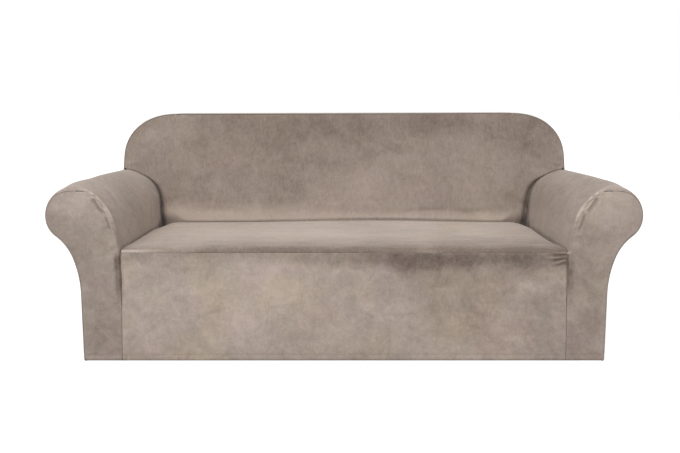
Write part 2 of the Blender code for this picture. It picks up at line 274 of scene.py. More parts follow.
def edgeRings(grid, edges, turned):
    # the rings of points that follow the grid's border round its turned edges
    rows, columns = grid.shape[:2]
    normal, across, along = gridNormals(grid, turned)
    side = -1.0 if turned else 1.0
    border = loopAround(rows, columns)
    spot = {tuple(place): k for k, place in enumerate(border)}
    ends = {
        "low": ([(0, c) for c in range(columns)], across, side),
        "high": ([(rows - 1, c) for c in range(columns)], across, -side),
        "left": ([(r, 0) for r in range(rows)], along, -side),
        "right": ([(r, columns - 1) for r in range(rows)], along, side),
    }
    out = np.zeros((len(border), ringCount, 3))
    down, hidden = np.zeros((2, len(border), ringCount))
    heading, uses = {}, np.ones(len(border))
    for name, (places, tangent, sign) in ends.items():
        at = np.array(places)
        profile = edges[name] * np.ones((len(places), 1, 1))
        run = unit(tangent[at[:, 0], at[:, 1]])
        away = sign * unit(np.cross(run, normal[at[:, 0], at[:, 1]]))
        for k, place in enumerate(places):
            where = spot[place]
            out[where] += profile[k, :, :1] * away[k]
            down[where] = np.maximum(down[where], profile[k, :, 1])
            hidden[where] = np.maximum(hidden[where], profile[k, :, 2])
            if where in heading:
                uses[where] = 1.0 + max(0.0, float(np.dot(heading[where], away[k])))
            heading[where] = away[k]
    start = grid[border[:, 0], border[:, 1]]
    behind = normal[border[:, 0], border[:, 1]]
    return start[:, None] + out / uses[:, None, None] - down[..., None] * behind[:, None], border, hidden


def sheetMesh(name, grid, edges, pileAndShade, turned=False, cut=None, shade=1.0):
    rows, columns = grid.shape[:2]
    rings, border, hidden = edgeRings(grid, edges, turned)
    number = np.arange(rows * columns).reshape(rows, columns)
    kept = np.ones((rows - 1, columns - 1), bool) if cut is None else ~cut
    quads = np.stack([number[:-1, :-1], number[:-1, 1:], number[1:, 1:], number[1:, :-1]], axis=-1)
    faces = [quads[kept]]
    loop = number[border[:, 0], border[:, 1]]
    nearRow = np.minimum(border[:, 0], np.roll(border[:, 0], -1)).clip(0, rows - 2)
    nearColumn = np.minimum(border[:, 1], np.roll(border[:, 1], -1)).clip(0, columns - 2)
    inside = kept[nearRow, nearColumn]
    before = loop
    for ring in range(ringCount):
        after = rows * columns + ring * len(loop) + np.arange(len(loop))
        strip = np.stack([before, after, np.roll(after, -1), np.roll(before, -1)], axis=-1)
        faces.append(strip[inside])
        before = after
    faces = np.concatenate(faces)
    points = np.concatenate([grid.reshape(-1, 3), rings.transpose(1, 0, 2).reshape(-1, 3)])
    ringTone = pileAndShade[border[:, 0], border[:, 1]][:, None]
    # painted shade on the turned edges: darkest just inside a fold, lighter again deeper down
    sunk = smooth((hidden - 0.001) / 0.012) * (1 - 0.7 * smooth((hidden - 0.016) / 0.014))
    ringTone = ringTone - shade * form["creaseShade"] * sunk
    tone = np.maximum(np.concatenate([pileAndShade.reshape(-1), ringTone.T.reshape(-1)]), -1.1)
    used, faces = np.unique(faces, return_inverse=True)
    faces = faces.reshape(-1, 4)
    points, tone = points[used] + (0.0, frontPlace, hemPlace), tone[used]
    if turned:
        faces = faces[:, ::-1]
    mesh = bpy.data.meshes.new(name)
    mesh.from_pydata(points.tolist(), [], faces.tolist())
    # the tone of the pile together with its painted light and shade, read by the velvet's shader
    mesh.attributes.new("pileAndShade", "FLOAT", "POINT").data.foreach_set("value", tone.astype(np.float32))
    mesh.shade_smooth()
    mesh.update()
    return mesh


def makeSheet(
    name, grid, edges, pileAndShade, finish, turned=False, cut=None, shade=1.0
):
    title = name.replace("_panel", "") + "_velvet"
    piece = bpy.data.objects.new(title, sheetMesh(title, grid, edges, pileAndShade, turned, cut, shade))
    bpy.context.scene.collection.objects.link(piece)
    piece.data.materials.append(finish)
    piece.data.materials.append(reverseFinish)
    wall = piece.modifiers.new("Cloth", "SOLIDIFY")
    wall.thickness = form["cloth"]
    wall.offset = -1.0
    wall.material_offset = 1
    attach(piece, "root")
    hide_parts(name)
    print(title, len(piece.data.polygons), "faces")


# Shader groups and finishes


def feed(tree, node, links):
    # every input named gets its link or its plain value
    for key, source in links.items():
        if isinstance(source, bpy.types.NodeSocket):
            tree.links.new(source, node.inputs[key])
        else:
            node.inputs[key].default_value = source


def addNode(tree, kind, links=None, **values):
    node = tree.nodes.new(kind)
    for key, value in values.items():
        setattr(node, key, value)
    feed(tree, node, links or {})
    return node


def calc(tree, operation, first, second=0.5, third=0.0):
    node = addNode(tree, "ShaderNodeMath", {0: first, 1: second, 2: third}, operation=operation)
    return node.outputs[0]


def noiseAt(tree, place, scale, detail=3.0, rough=0.55, twist=0.0):
    links = {"Vector": place, "Scale": scale, "Detail": detail, "Roughness": rough, "Distortion": twist}
    return addNode(tree, "ShaderNodeTexNoise", links).outputs["Fac"]


def blend(tree, factor, first, second, how="MIX", free=False):
    kind = {"data_type": "RGBA", "blend_type": how, "clamp_factor": not free}
    return addNode(tree, "ShaderNodeMix", {0: factor, 6: first, 7: second}, **kind).outputs[2]


def newGroup(name, inputs, outputs):
    tree = bpy.data.node_groups.new(name, "ShaderNodeTree")
    for label, kind, value in inputs:
        socket = tree.interface.new_socket(label, in_out="INPUT", socket_type=kind)
        if value is not None:
            socket.default_value = value
    for label, kind in outputs:
        tree.interface.new_socket(label, in_out="OUTPUT", socket_type=kind)
    return tree, tree.nodes.new("NodeGroupInput"), tree.nodes.new("NodeGroupOutput")


def napGroup():
    # mottled pile of crushed velvet: its tone, with the painted light and shade it is given, its colour, how
    # dull it is, and its relief
    tree, given, made = newGroup(
        "velvetNap",
        [
            ("Place", "NodeSocketVector", None),
            ("Brushed", "NodeSocketVector", None),
            ("Dark", "NodeSocketColor", (0.2, 0.17, 0.15, 1)),
            ("Light", "NodeSocketColor", (0.4, 0.35, 0.31, 1)),
            ("PileAndShade", "NodeSocketFloat", 0.0),
            ("Clouds", "NodeSocketFloat", 1.0),
            ("Blotches", "NodeSocketFloat", 1.0),
            ("Strokes", "NodeSocketFloat", 1.0),
            ("Grain", "NodeSocketFloat", 1.0),
            ("Hues", "NodeSocketFloat", 1.0),
        ],
        [
            ("Colour", "NodeSocketColor"),
            ("Roughness", "NodeSocketFloat"),
            ("Relief", "NodeSocketFloat"),
        ],
    )
    place = given.outputs["Place"]
    clouds = noiseAt(tree, place, 2.6, 2.0, 0.5, 0.3)
    blotches = noiseAt(tree, place, 13.0, 4.0, 0.62, 0.9)
    flecks = noiseAt(tree, place, 46.0, 3.0, 0.65, 0.6)
    fibres = noiseAt(tree, place, 120.0, 3.0, 0.6, 0.4)
    strokes = noiseAt(tree, given.outputs["Brushed"], 1.0, 3.0, 0.55, 0.5)
    grain = noiseAt(tree, place, 330.0, 2.0, 0.6)
    tone = calc(tree, "ADD", given.outputs["PileAndShade"], 0.5)
    parts = (
        (clouds, "Clouds", 1.1), (blotches, "Blotches", 0.9), (flecks, "Blotches", 0.55),
        (strokes, "Strokes", 0.9), (fibres, "Grain", 0.7), (grain, "Grain", 0.35),
    )
    for source, strength, weight in parts:
        centred = calc(tree, "SUBTRACT", source, 0.5)
        share = calc(tree, "MULTIPLY", given.outputs[strength], weight)
        tone = calc(tree, "MULTIPLY_ADD", centred, share, tone)
    tone = addNode(tree, "ShaderNodeClamp", {"Value": tone, "Min": -0.7, "Max": 1.4}).outputs[0]
    colour = blend(tree, tone, given.outputs["Dark"], given.outputs["Light"], free=True)
    tint = noiseAt(tree, place, 7.0, 2.0, 0.5, 0.5)
    tint = addNode(tree, "ShaderNodeMapRange", {"Value": tint, 1: 0.35, 2: 0.65}).outputs[0]
    hue = blend(tree, tint, (0.985, 1.0, 0.965, 1), (1.02, 0.99, 1.0, 1))
    colour = blend(tree, given.outputs["Hues"], colour, hue, "MULTIPLY")
    warmth = noiseAt(tree, place, 4.5, 3.0, 0.55, 0.6)
    warmth = addNode(tree, "ShaderNodeMapRange", {"Value": warmth, 1: 0.35, 2: 0.65}).outputs[0]
    hue = blend(tree, warmth, (1.02, 1.0, 0.955, 1), (0.99, 1.0, 1.045, 1))
    colour = blend(tree, given.outputs["Hues"], colour, hue, "MULTIPLY")
    rough = calc(tree, "MULTIPLY_ADD", tone, -0.18, 0.92)
    relief = calc(tree, "MULTIPLY", blotches, 0.5)
    relief = calc(tree, "MULTIPLY_ADD", flecks, 0.3, relief)
    relief = calc(tree, "MULTIPLY_ADD", grain, 0.12, relief)
    feed(tree, made, {"Colour": colour, "Roughness": rough, "Relief": relief})
    return tree


def newFinish(name):
    finish = bpy.data.materials.new(name)
    finish.use_nodes = True
    tree = finish.node_tree
    place = addNode(tree, "ShaderNodeTexCoord").outputs["Object"]
    return finish, tree, tree.nodes["Principled BSDF"], place


def velvetFinish(name, look):
    finish, tree, shader, place = newFinish(name)
    place = addNode(tree, "ShaderNodeMapping", {"Vector": place, "Location": look["shift"]}).outputs[0]
    brushed = addNode(tree, "ShaderNodeMapping", {"Vector": place, "Scale": look["strokeScale"]})
    # each sheet's tone, painted light and shade included
    pileAndShade = addNode(tree, "ShaderNodeAttribute", attribute_name="pileAndShade").outputs["Fac"]
    nap = addNode(tree, "ShaderNodeGroup", node_tree=napTree)
    settings = {"Place": place, "Brushed": brushed.outputs[0], "PileAndShade": pileAndShade}
    settings.update({"Dark": (*look["dark"], 1), "Light": (*look["light"], 1)})
    for key in ("Clouds", "Blotches", "Strokes", "Grain", "Hues"):
        settings[key] = look[key.lower()]
    feed(tree, nap, settings)
    relief = addNode(
        tree, "ShaderNodeBump",
        {"Height": nap.outputs["Relief"], "Strength": look["bump"], "Distance": look["bumpDepth"]},
    )
    feed(tree, shader, {
        "Base Color": nap.outputs["Colour"],
        "Roughness": nap.outputs["Roughness"],
        "Normal": relief.outputs[0],
        "Sheen Weight": look["sheen"],
        "Sheen Roughness": 0.45,
        "Sheen Tint": (1.0, 0.95, 0.9, 1.0),
        "Specular IOR Level": 0.2,
    })
    return finish


velvet = {
    "shift": (0.0, 0.0, 0.0),
    "dark": (0.235, 0.187, 0.158),
    "light": (0.415, 0.345, 0.298),
    "clouds": 0.8,
    "blotches": 0.8,
    "strokes": 0.6,
    "strokeScale": (170.0, 60.0, 30.0),       # strokes of the pile, per metre along x, y and z
    "grain": 0.7,
    "hues": 0.6,
    "bump": 0.35,
    "bumpDepth": 0.004,
    "sheen": 0.25,
}
napTree = napGroup()


def backingFinish():
    # the knitted reverse of the velvet
    finish, tree, shader, place = newFinish("knitted reverse")
    loops = addNode(
        tree, "ShaderNodeTexWave", {"Vector": place, "Scale": 190.0, "Distortion": 1.5, "Detail": 1.0},
        bands_direction="Z",
    ).outputs["Fac"]
    worn = noiseAt(tree, place, 9.0, 4.0, 0.6)
    colour = blend(tree, worn, (0.30, 0.265, 0.235, 1), (0.40, 0.36, 0.325, 1))
    relief = addNode(tree, "ShaderNodeBump", {"Height": loops, "Strength": 0.3, "Distance": 0.0008})
    feed(tree, shader, {
        "Base Color": colour,
        "Normal": relief.outputs[0],
        "Roughness": 0.95,
        "Specular IOR Level": 0.15,
    })
    return finish


reverseFinish = backingFinish()

# Arms

armShape = {
    "rollTop": (0.940, 0.6195),                                    # highest line of the roll
    "inner": ((0.050, 18), (0.182, 56), (0.634, 9)),               # radius and turn in degrees
    "outer": ((0.105, 95), (0.094, 48), (0.172, -31), (0.370, -20)),
    "hemTaper": 0.007,
    "rimTop": 0.019,         # how far in from the arm's outline the front's seam lies
    "rimInner": 0.0075,
    "rimOuter": 0.005,
    "rimLow": 0.004,
    "rimRise": 0.130,
    "tuckBack": 0.064,       # how far the arm's inner face runs on behind the back
    "tuckFall": 0.002,       # and how far it turns away there
    "tuckHem": 0.012,        # its last stretch, which lies flat
    "rearRun": 0.22,         # length of the rows behind the back's face
    "topSwell": 0.0080,      # padding along the roll's top
    "flapStart": 0.030,      # how far behind the front the tucked cloth starts below the seat
}
armShading = {
    "behindBack": (0.50, 0.75),    # painted shade behind the back's face, high and low
    # painted shade on the arm just above the seat
    "underSeat": 0.60,
    "seamOnTop": 0.32,             # painted highlight on the seam over the roll
}


def armOutline():
    inner = arcRun(armShape["rollTop"], math.pi, -1, armShape["inner"])
    inner.append((form["seatHalf"] + 0.001, form["tuckBottom"]))
    inner = even(inner, form["spacing"])
    outer = arcRun(armShape["rollTop"], 0.0, 1, armShape["outer"])
    outer.append((outer[-1][0] - armShape["hemTaper"], form["hemRound"]))
    outer = even(outer, form["spacing"])
    points = np.vstack([inner[::-1], outer[1:]])
    run = np.gradient(points, axis=0)
    normals = unit(np.stack([-run[:, 1], run[:, 0]], axis=1))
    steps = np.linalg.norm(np.diff(points, axis=0), axis=1)
    girth = np.concatenate([[0.0], np.cumsum(steps)])
    return points, normals, girth - girth[len(inner) - 1], len(inner) - 1


outline, outNormal, girth, topAt = armOutline()


def armRim():
    across, z = outNormal[:, 0], outline[:, 1]
    outer = mix(armShape["rimTop"], armShape["rimOuter"], smooth(across))
    inner = mix(armShape["rimInner"], armShape["rimTop"], smooth((across + 0.55) / 0.35))
    rise = smooth((z - form["tuckBottom"]) / armShape["rimRise"])
    return np.where(across > 0, outer, mix(armShape["rimLow"], inner, rise))


rimSize = armRim()


def innerArmX(z):
    return np.interp(z, outline[: topAt + 1, 1], outline[: topAt + 1, 0])


armLook = dict(velvet, shift=(3.1, 0.0, 1.7), blotches=0.95, strokes=0.5, grain=1.0,
               strokeScale=(60.0, 90.0, 60.0))
armMarks = {
    "left": {
        "beside": (-0.145, 0.090, 0.0145),    # swelling beside the back: girth, reach, depth
        "hollows": (
            # y, girth from the roll's top, reach both ways, depth
            (0.30, -0.12, 0.12, 0.09, -0.003),
            (0.50, -0.22, 0.09, 0.08, 0.002),
            (0.45, 0.02, 0.20, 0.06, 0.002),
        ),
        "creases": (
            # y, girth, y, girth, bow, width, depth, fade at the start, fade at the end
            (0.615, -0.07, 0.54, -0.03, 0.10, 0.010, -0.0025, 0.0, 0.8),
            (0.600, -0.16, 0.52, -0.15, -0.06, 0.012, -0.0025, 0.0, 0.8),
            (0.020, -0.12, 0.10, -0.14, 0.05, 0.010, -0.0020, 0.0, 0.8),
            (0.020, -0.16, 0.08, -0.19, 0.05, 0.009, -0.0015, 0.0, 0.8),
        ),
        "pileAndShade": ((0.25, 0.0, 0.30, 0.08, -0.17), (0.35, -0.13, 0.26, 0.07, -0.10)),
    },
    "right": {
        "beside": (-0.130, 0.072, 0.012),
        "hollows": (
            (0.24, -0.13, 0.11, 0.08, -0.003),
            (0.50, -0.20, 0.08, 0.07, -0.003),
            (0.35, 0.03, 0.20, 0.06, 0.002),
        ),
        "creases": (
            (0.610, -0.05, 0.53, -0.02, 0.08, 0.010, -0.0025, 0.0, 0.8),
            (0.600, -0.14, 0.50, -0.17, 0.06, 0.012, -0.0030, 0.0, 0.8),
            (0.020, -0.10, 0.12, -0.13, 0.05, 0.010, -0.0020, 0.0, 0.8),
            (0.020, -0.20, 0.10, -0.21, -0.05, 0.012, -0.0020, 0.0, 0.8),
        ),
        "pileAndShade": ((0.25, 0.0, 0.30, 0.08, -0.12), (0.38, -0.13, 0.26, 0.08, -0.26)),
    },
}
ridgeMarks = {
    # how far the seam in front stands up, and over which heights, on the arm's inner side
    "height": 0.0030,
    "low": 0.458,
    "forward": 0.7,          # share by which the arm's front swells with it
    "light": 0.95,           # painted highlight along it on the arm,
    "frontHighlight": 0.5,       # and on the arm's front
}


def seamTightness(x, z):
    # the seam round an arm's front rolls deeper on the inner side than over the roll
    return mix(0.0005, 0.0012, smooth((0.925 - x) / 0.05) * smooth((z - 0.455) / 0.04))


def besideBack(word, y):
    place, reach, depth = armMarks[word]["beside"]
    along = np.exp(-(((y - 0.62) / 0.26) ** 2)) * smooth(y / 0.12)
    return depth * along * np.exp(-(((girth - place) / reach) ** 2))


def ridgeLift():
    z, across = outline[:, 1], outNormal[:, 0]
    lift = smooth((z - ridgeMarks["low"]) / 0.05) * smooth((-0.42 - across) / 0.14)
    return ridgeMarks["height"] * lift * np.clip(1 + swell(z, girth, 5, 0.022, 0.9), 0.1, 1.9)


def armPanel(side, word):
    marks = armMarks[word]
    x, z = outline[:, 0], outline[:, 1]
    inside = np.arange(len(outline)) <= topAt
    curl, ridge, tightness = form["seamCurl"], ridgeLift(), seamTightness(x, z)
    turnSize = rimSize - tightness - halfSeam
    underSeat = np.where(inside, smooth((form["frontSeam"] + 0.003 - z) / 0.012), 0)
    start = turnSize + underSeat * armShape["flapStart"]
    crease = np.where(inside, backFace(z), backFace(armShape["rollTop"][1]))
    rearTurn = form["rearRound"] - curl - halfSeam
    tuckEnd = crease + armShape["tuckBack"] - armShape["tuckHem"]
    end = np.where(inside, tuckEnd, form["depth"] - form["rearRound"])
    runRows = round(form["backFoot"] / form["spacing"])
    rearRows = round(armShape["rearRun"] / form["spacing"])
    # the first rows lie close together, behind the seam in front
    t = np.concatenate([[0.0, 0.003, 0.008], np.linspace(0.015, 1, runRows - 2)])[:, None]
    s = np.linspace(0, 1, rearRows + 1)[1:, None]
    y = np.vstack([mix(start, crease, t), mix(crease, end, s)])
    g = np.broadcast_to(girth, y.shape)
    free = inwards(y, 0.0, form["backFoot"] + 0.02, 0.05) * smooth((z - form["seatTop"]) / 0.06)
    free = np.where(girth > 0, smooth(y / 0.05) * smooth((form["depth"] - y) / 0.05), free)
    lift = free * (hollows(y, g, marks["hollows"]) + swell(y, g, 11 + side, 0.22, 0.0010))
    lift += creases(y, g, marks["creases"]) + besideBack(word, y)
    padded = smooth((y - 0.01) / 0.09) * np.clip((0.62 - y) / 0.48, 0, 1)
    lift += armShape["topSwell"] * padded * np.exp(-(((g - 0.005) / 0.075) ** 2))
    lift -= np.where(inside, armShape["tuckFall"] * smooth((y - crease - 0.010) / 0.030), hemDent(z))
    grid = np.stack([x + outNormal[:, 0] * lift, y, z + outNormal[:, 1] * lift], axis=2)
    grid[..., 0] *= side
    cut = np.zeros((grid.shape[0] - 1, grid.shape[1] - 1), bool)
    cut[runRows:, topAt : topAt + 2] = True
    rear = rimEdge(rearTurn, curl, form["allowance"]) * np.ones((len(x), 1, 1))
    rear[: topAt + 1] = flatEdge(armShape["tuckHem"])
    edges = {
        "low": rimEdge(turnSize, tightness, form["allowance"], ridge),
        "high": rear,
        "left": flatEdge(0.002),
        "right": hemEdge(),
    }
    pileAndShade = hollows(y, g, marks["pileAndShade"])
    # painted highlight along the raised seam
    pileAndShade[0] += ridgeMarks["light"] * ridge / ridgeMarks["height"]
    # painted shade on the arm's inner face behind the back's face, stronger low down
    behind = y - crease + 0.006 + 0.035 * smooth((0.425 - z) / 0.03)
    pileAndShade -= inside * mix(*armShading["behindBack"], smooth((0.52 - z) / 0.08)) * smooth(behind / 0.010)
    # painted shade just above the seat
    pileAndShade -= armShading["underSeat"] * inside * smooth((0.397 - z) / 0.006) * smooth(y / 0.05)
    # painted highlight on the seam over the roll
    pileAndShade[0] += armShading["seamOnTop"] * smooth((z - 0.590) / 0.015)
    makeSheet(
        "arm_panel_" + word, grid, edges, pileAndShade, armFinish,
        side < 0, cut, shade=0.6,
    )
    return grid


def coons(low, high, left, right):
    # a patch spanned between its four edges
    u = np.linspace(0, 1, len(low))[None, :, None]
    v = np.linspace(0, 1, len(left))[:, None, None]
    across = mix(left[:, None], right[:, None], u)
    along = mix(low[None], high[None], v)
    corners = mix(mix(low[0], low[-1], u), mix(high[0], high[-1], u), v)
    return across + along - corners


armFrontShape = {
    "capInner": 0.085,       # the patch's upper corners, along the rim from the roll's top
    "capOuter": 0.095,
    "height": 0.60,
    "spacing": 0.0034,
    "outlineStep": 0.002,
    "creaseShading": 140.0,     # their painted shade shows more strongly here than elsewhere
}
armFrontLook = dict(velvet, shift=(-2.3, 5.0, 0.4), clouds=1.0, blotches=1.1, strokes=0.2,
                    light=(0.455, 0.380, 0.330), dark=(0.245, 0.196, 0.166))
armFrontMarks = {
    "left": {
        "hollows": (
            # x, z, reach both ways, depth
            (0.935, 0.525, 0.085, 0.080, 0.006),
            (0.90, 0.40, 0.06, 0.05, -0.003),
            (0.85, 0.22, 0.05, 0.16, 0.001),
        ),
        "creases": (
            # x, z, x, z, bow, width, depth, fades
            (0.880, 0.576, 0.830, 0.512, 0.02, 0.0075, -0.0046, 0.12, 0.30),
            (0.852, 0.560, 0.830, 0.524, 0.02, 0.0030, -0.0020, 0.30, 0.40),
            (0.866, 0.573, 0.838, 0.526, 0.03, 0.0030, 0.0022, 0.2, 0.3),
            (0.866, 0.545, 0.850, 0.508, 0.02, 0.0045, 0.0014, 0.3, 0.6),
            (0.834, 0.520, 0.811, 0.452, 0.03, 0.0045, -0.0036, 0.2, 0.4),
            (0.842, 0.505, 0.832, 0.466, 0.02, 0.0045, -0.0016, 0.3, 0.6),
            (0.826, 0.470, 0.860, 0.455, 0.05, 0.0070, -0.0014, 0.0, 0.9),
            (0.860, 0.535, 0.900, 0.560, -0.05, 0.0060, -0.0013, 0.0, 0.9),
            (0.805, 0.400, 0.840, 0.360, 0.08, 0.008, -0.0016, 0.0, 0.9),
            (0.795, 0.330, 0.830, 0.290, 0.08, 0.009, -0.0014, 0.0, 0.9),
        ),
        # lighter over the roll's top, darker low down
        "pileAndShade": (
            (0.93, 0.56, 0.10, 0.07, 0.34), (0.86, 0.16, 0.10, 0.16, -0.36), (0.84, 0.38, 0.08, 0.06, 0.12),
        ),
        "valley": (
            # z, and how far the cloth has drawn back there
            (0.20, 0.0), (0.235, 0.003), (0.255, 0.006), (0.33, 0.006),
            (0.362, 0.009), (0.378, 0.004), (0.390, 0.0),
        ),
        "valleyShade": (
            # z, and how dark the painted shade in the valley is there
            (0.20, 0.0), (0.250, 0.55), (0.33, 0.66), (0.362, 0.90), (0.383, 0.30), (0.395, 0.0),
        ),
        "shadeReach": (1.0, 0.007),    # even over this share of the valley, fading over this reach
    },
    "right": {
        "hollows": (
            (0.935, 0.525, 0.085, 0.080, 0.006),
            (0.89, 0.40, 0.06, 0.05, -0.003),
            (0.86, 0.18, 0.05, 0.16, 0.001),
        ),
        "creases": (
            (0.885, 0.577, 0.846, 0.524, 0.03, 0.0075, -0.0046, 0.12, 0.25),
            (0.842, 0.526, 0.8157, 0.452, 0.03, 0.0048, -0.0038, 0.20, 0.3),
            (0.858, 0.540, 0.850, 0.500, 0.03, 0.0050, -0.0018, 0.3, 0.6),
            (0.848, 0.557, 0.828, 0.518, 0.03, 0.0030, -0.0016, 0.2, 0.4),
            (0.872, 0.576, 0.834, 0.524, 0.03, 0.0030, 0.0022, 0.2, 0.3),
            (0.836, 0.498, 0.824, 0.444, 0.02, 0.0040, 0.0014, 0.3, 0.5),
            (0.890, 0.575, 0.884, 0.540, 0.02, 0.0055, 0.0018, 0.3, 0.6),
            (0.786, 0.390, 0.800, 0.378, 0.05, 0.0030, 0.0022, 0.1, 0.5),
            (0.786, 0.378, 0.800, 0.392, 0.05, 0.0030, 0.0022, 0.1, 0.5),
            (0.815, 0.440, 0.850, 0.420, 0.05, 0.0070, -0.0014, 0.0, 0.9),
            (0.800, 0.390, 0.835, 0.350, 0.08, 0.008, -0.0014, 0.0, 0.9),
        ),
        "pileAndShade": (
            (0.93, 0.56, 0.10, 0.07, 0.34), (0.86, 0.22, 0.10, 0.22, -0.34), (0.84, 0.44, 0.05, 0.06, -0.05),
        ),
        "valley": (
            (0.20, 0.0), (0.238, 0.003), (0.262, 0.007), (0.335, 0.008),
            (0.358, 0.007), (0.374, 0.001), (0.384, 0.0),
        ),
        "valleyShade": ((0.17, 0.0), (0.23, 0.25), (0.27, 0.48), (0.34, 0.58), (0.375, 0.45), (0.390, 0.0)),
        "shadeReach": (0.0, 0.017),
    },
}


def tight(line):
    return seamTightness(line[:, 0], line[:, 1])


def drawnSeam(curl, lean, inset):
    # where the cloth has drawn back it slopes to its seam and lies shallower
    shallow = smooth(inset / 0.0035)
    return seamEdge(curl, mix(form["allowance"], 0.003, shallow), lean + 0.0015 * shallow)


def opening(z, table):
    # how far a cloth has drawn back from an upright seam at height z
    heights, sizes = np.array(table).T
    return np.interp(z, heights, sizes)


def armFrontPanel(side, word):
    marks = armFrontMarks[word]
    curl = form["seamCurl"]
    inset = rimSize + halfSeam + seamTightness(outline[:, 0], outline[:, 1])
    rim = outline - outNormal * inset[:, None]
    upper = rim[(np.arange(len(rim)) <= topAt) & (outline[:, 1] > form["frontSeam"] + 0.004)]
    foot = form["seatHalf"] + halfSeam + curl
    inner = np.vstack([[(foot, form["hemRound"]), (foot, form["tuckBottom"] - 0.006)], upper])
    outer = rim[topAt:][::-1]
    step = armFrontShape["outlineStep"]
    innerRun, outerRun = even(inner, step), even(outer, step)
    innerEnd = len(innerRun) - round(armFrontShape["capInner"] / step)
    outerEnd = len(outerRun) - round(armFrontShape["capOuter"] / step)
    cap = np.vstack([innerRun[innerEnd - 1 :], outerRun[outerEnd - 1 : -1][::-1]])
    columns = round((armFrontShape["capInner"] + armFrontShape["capOuter"]) / armFrontShape["spacing"])
    rows = round(armFrontShape["height"] / armFrontShape["spacing"])
    left = even(innerRun[:innerEnd], count=rows)
    right = even(outerRun[:outerEnd], count=rows)
    high = even(cap, count=columns)
    low = even([left[0], right[0]], count=columns)
    left[:, 0] += opening(left[:, 1], marks["valley"])
    away = np.maximum(left[:, 0] - foot, 0) * smooth((form["frontSeam"] + 0.006 - left[:, 1]) / 0.006)
    flat = coons(low, high, left, right)
    x, z = flat[..., 0], flat[..., 1]
    far, _ = lineDistance(x, z, inner[::4])
    bulge = hollows(x, z, marks["hollows"]) + swell(x, z, 21 + side, 0.12, 0.0009)
    bulge *= smooth(far / 0.02) * smooth(z / 0.05)
    bulge += smooth(far / 0.005) * creases(x, z, marks["creases"]) - hemDent(z)
    ridge = np.interp(z, outline[: topAt + 1, 1], ridgeLift()[: topAt + 1])
    lifted = ridge * np.exp(-((far / 0.005) ** 2))
    grid = np.stack([side * x, -(bulge + ridgeMarks["forward"] * lifted), z], axis=2)
    edges = {
        "left": drawnSeam(tight(left) + 0.4 * away, 0.6 * away, away),
        "right": seamEdge(tight(right), form["allowance"]),
        "high": seamEdge(tight(high), form["allowance"]),
        "low": hemEdge(),
    }
    pileAndShade = hollows(x, z, marks["pileAndShade"])
    # painted shade in the creases and painted highlight on their ridges
    pileAndShade += armFrontShape["creaseShading"] * creases(x, z, marks["creases"])
    # painted highlight along the raised seam, and painted shade where the hem's stitching pulls in
    pileAndShade += ridgeMarks["frontHighlight"] * lifted / ridgeMarks["height"] - hemShading * hemDent(z)
    # painted shade in the valley beside the apron
    evenShare, reach = marks["shadeReach"]
    evenReach = evenShare * opening(z, marks["valley"])
    shadow = np.exp(-((np.maximum(far - evenReach, 0) / reach) ** 2))
    pileAndShade -= opening(z, marks["valleyShade"]) * shadow
    makeSheet(
        "arm_front_panel_" + word, grid, edges, pileAndShade, armFrontFinish,
        side < 0, shade=0.9,
    )
    return grid


armFinish = velvetFinish("velvet on the arms", armLook)
armFrontFinish = velvetFinish("velvet on the arm fronts", armFrontLook)
armGrids = {word: armPanel(side, word) for word, side in armSides.items()}
armFrontGrids = {word: armFrontPanel(side, word) for word, side in armSides.items()}
print("arms made")

# Apron under the seat

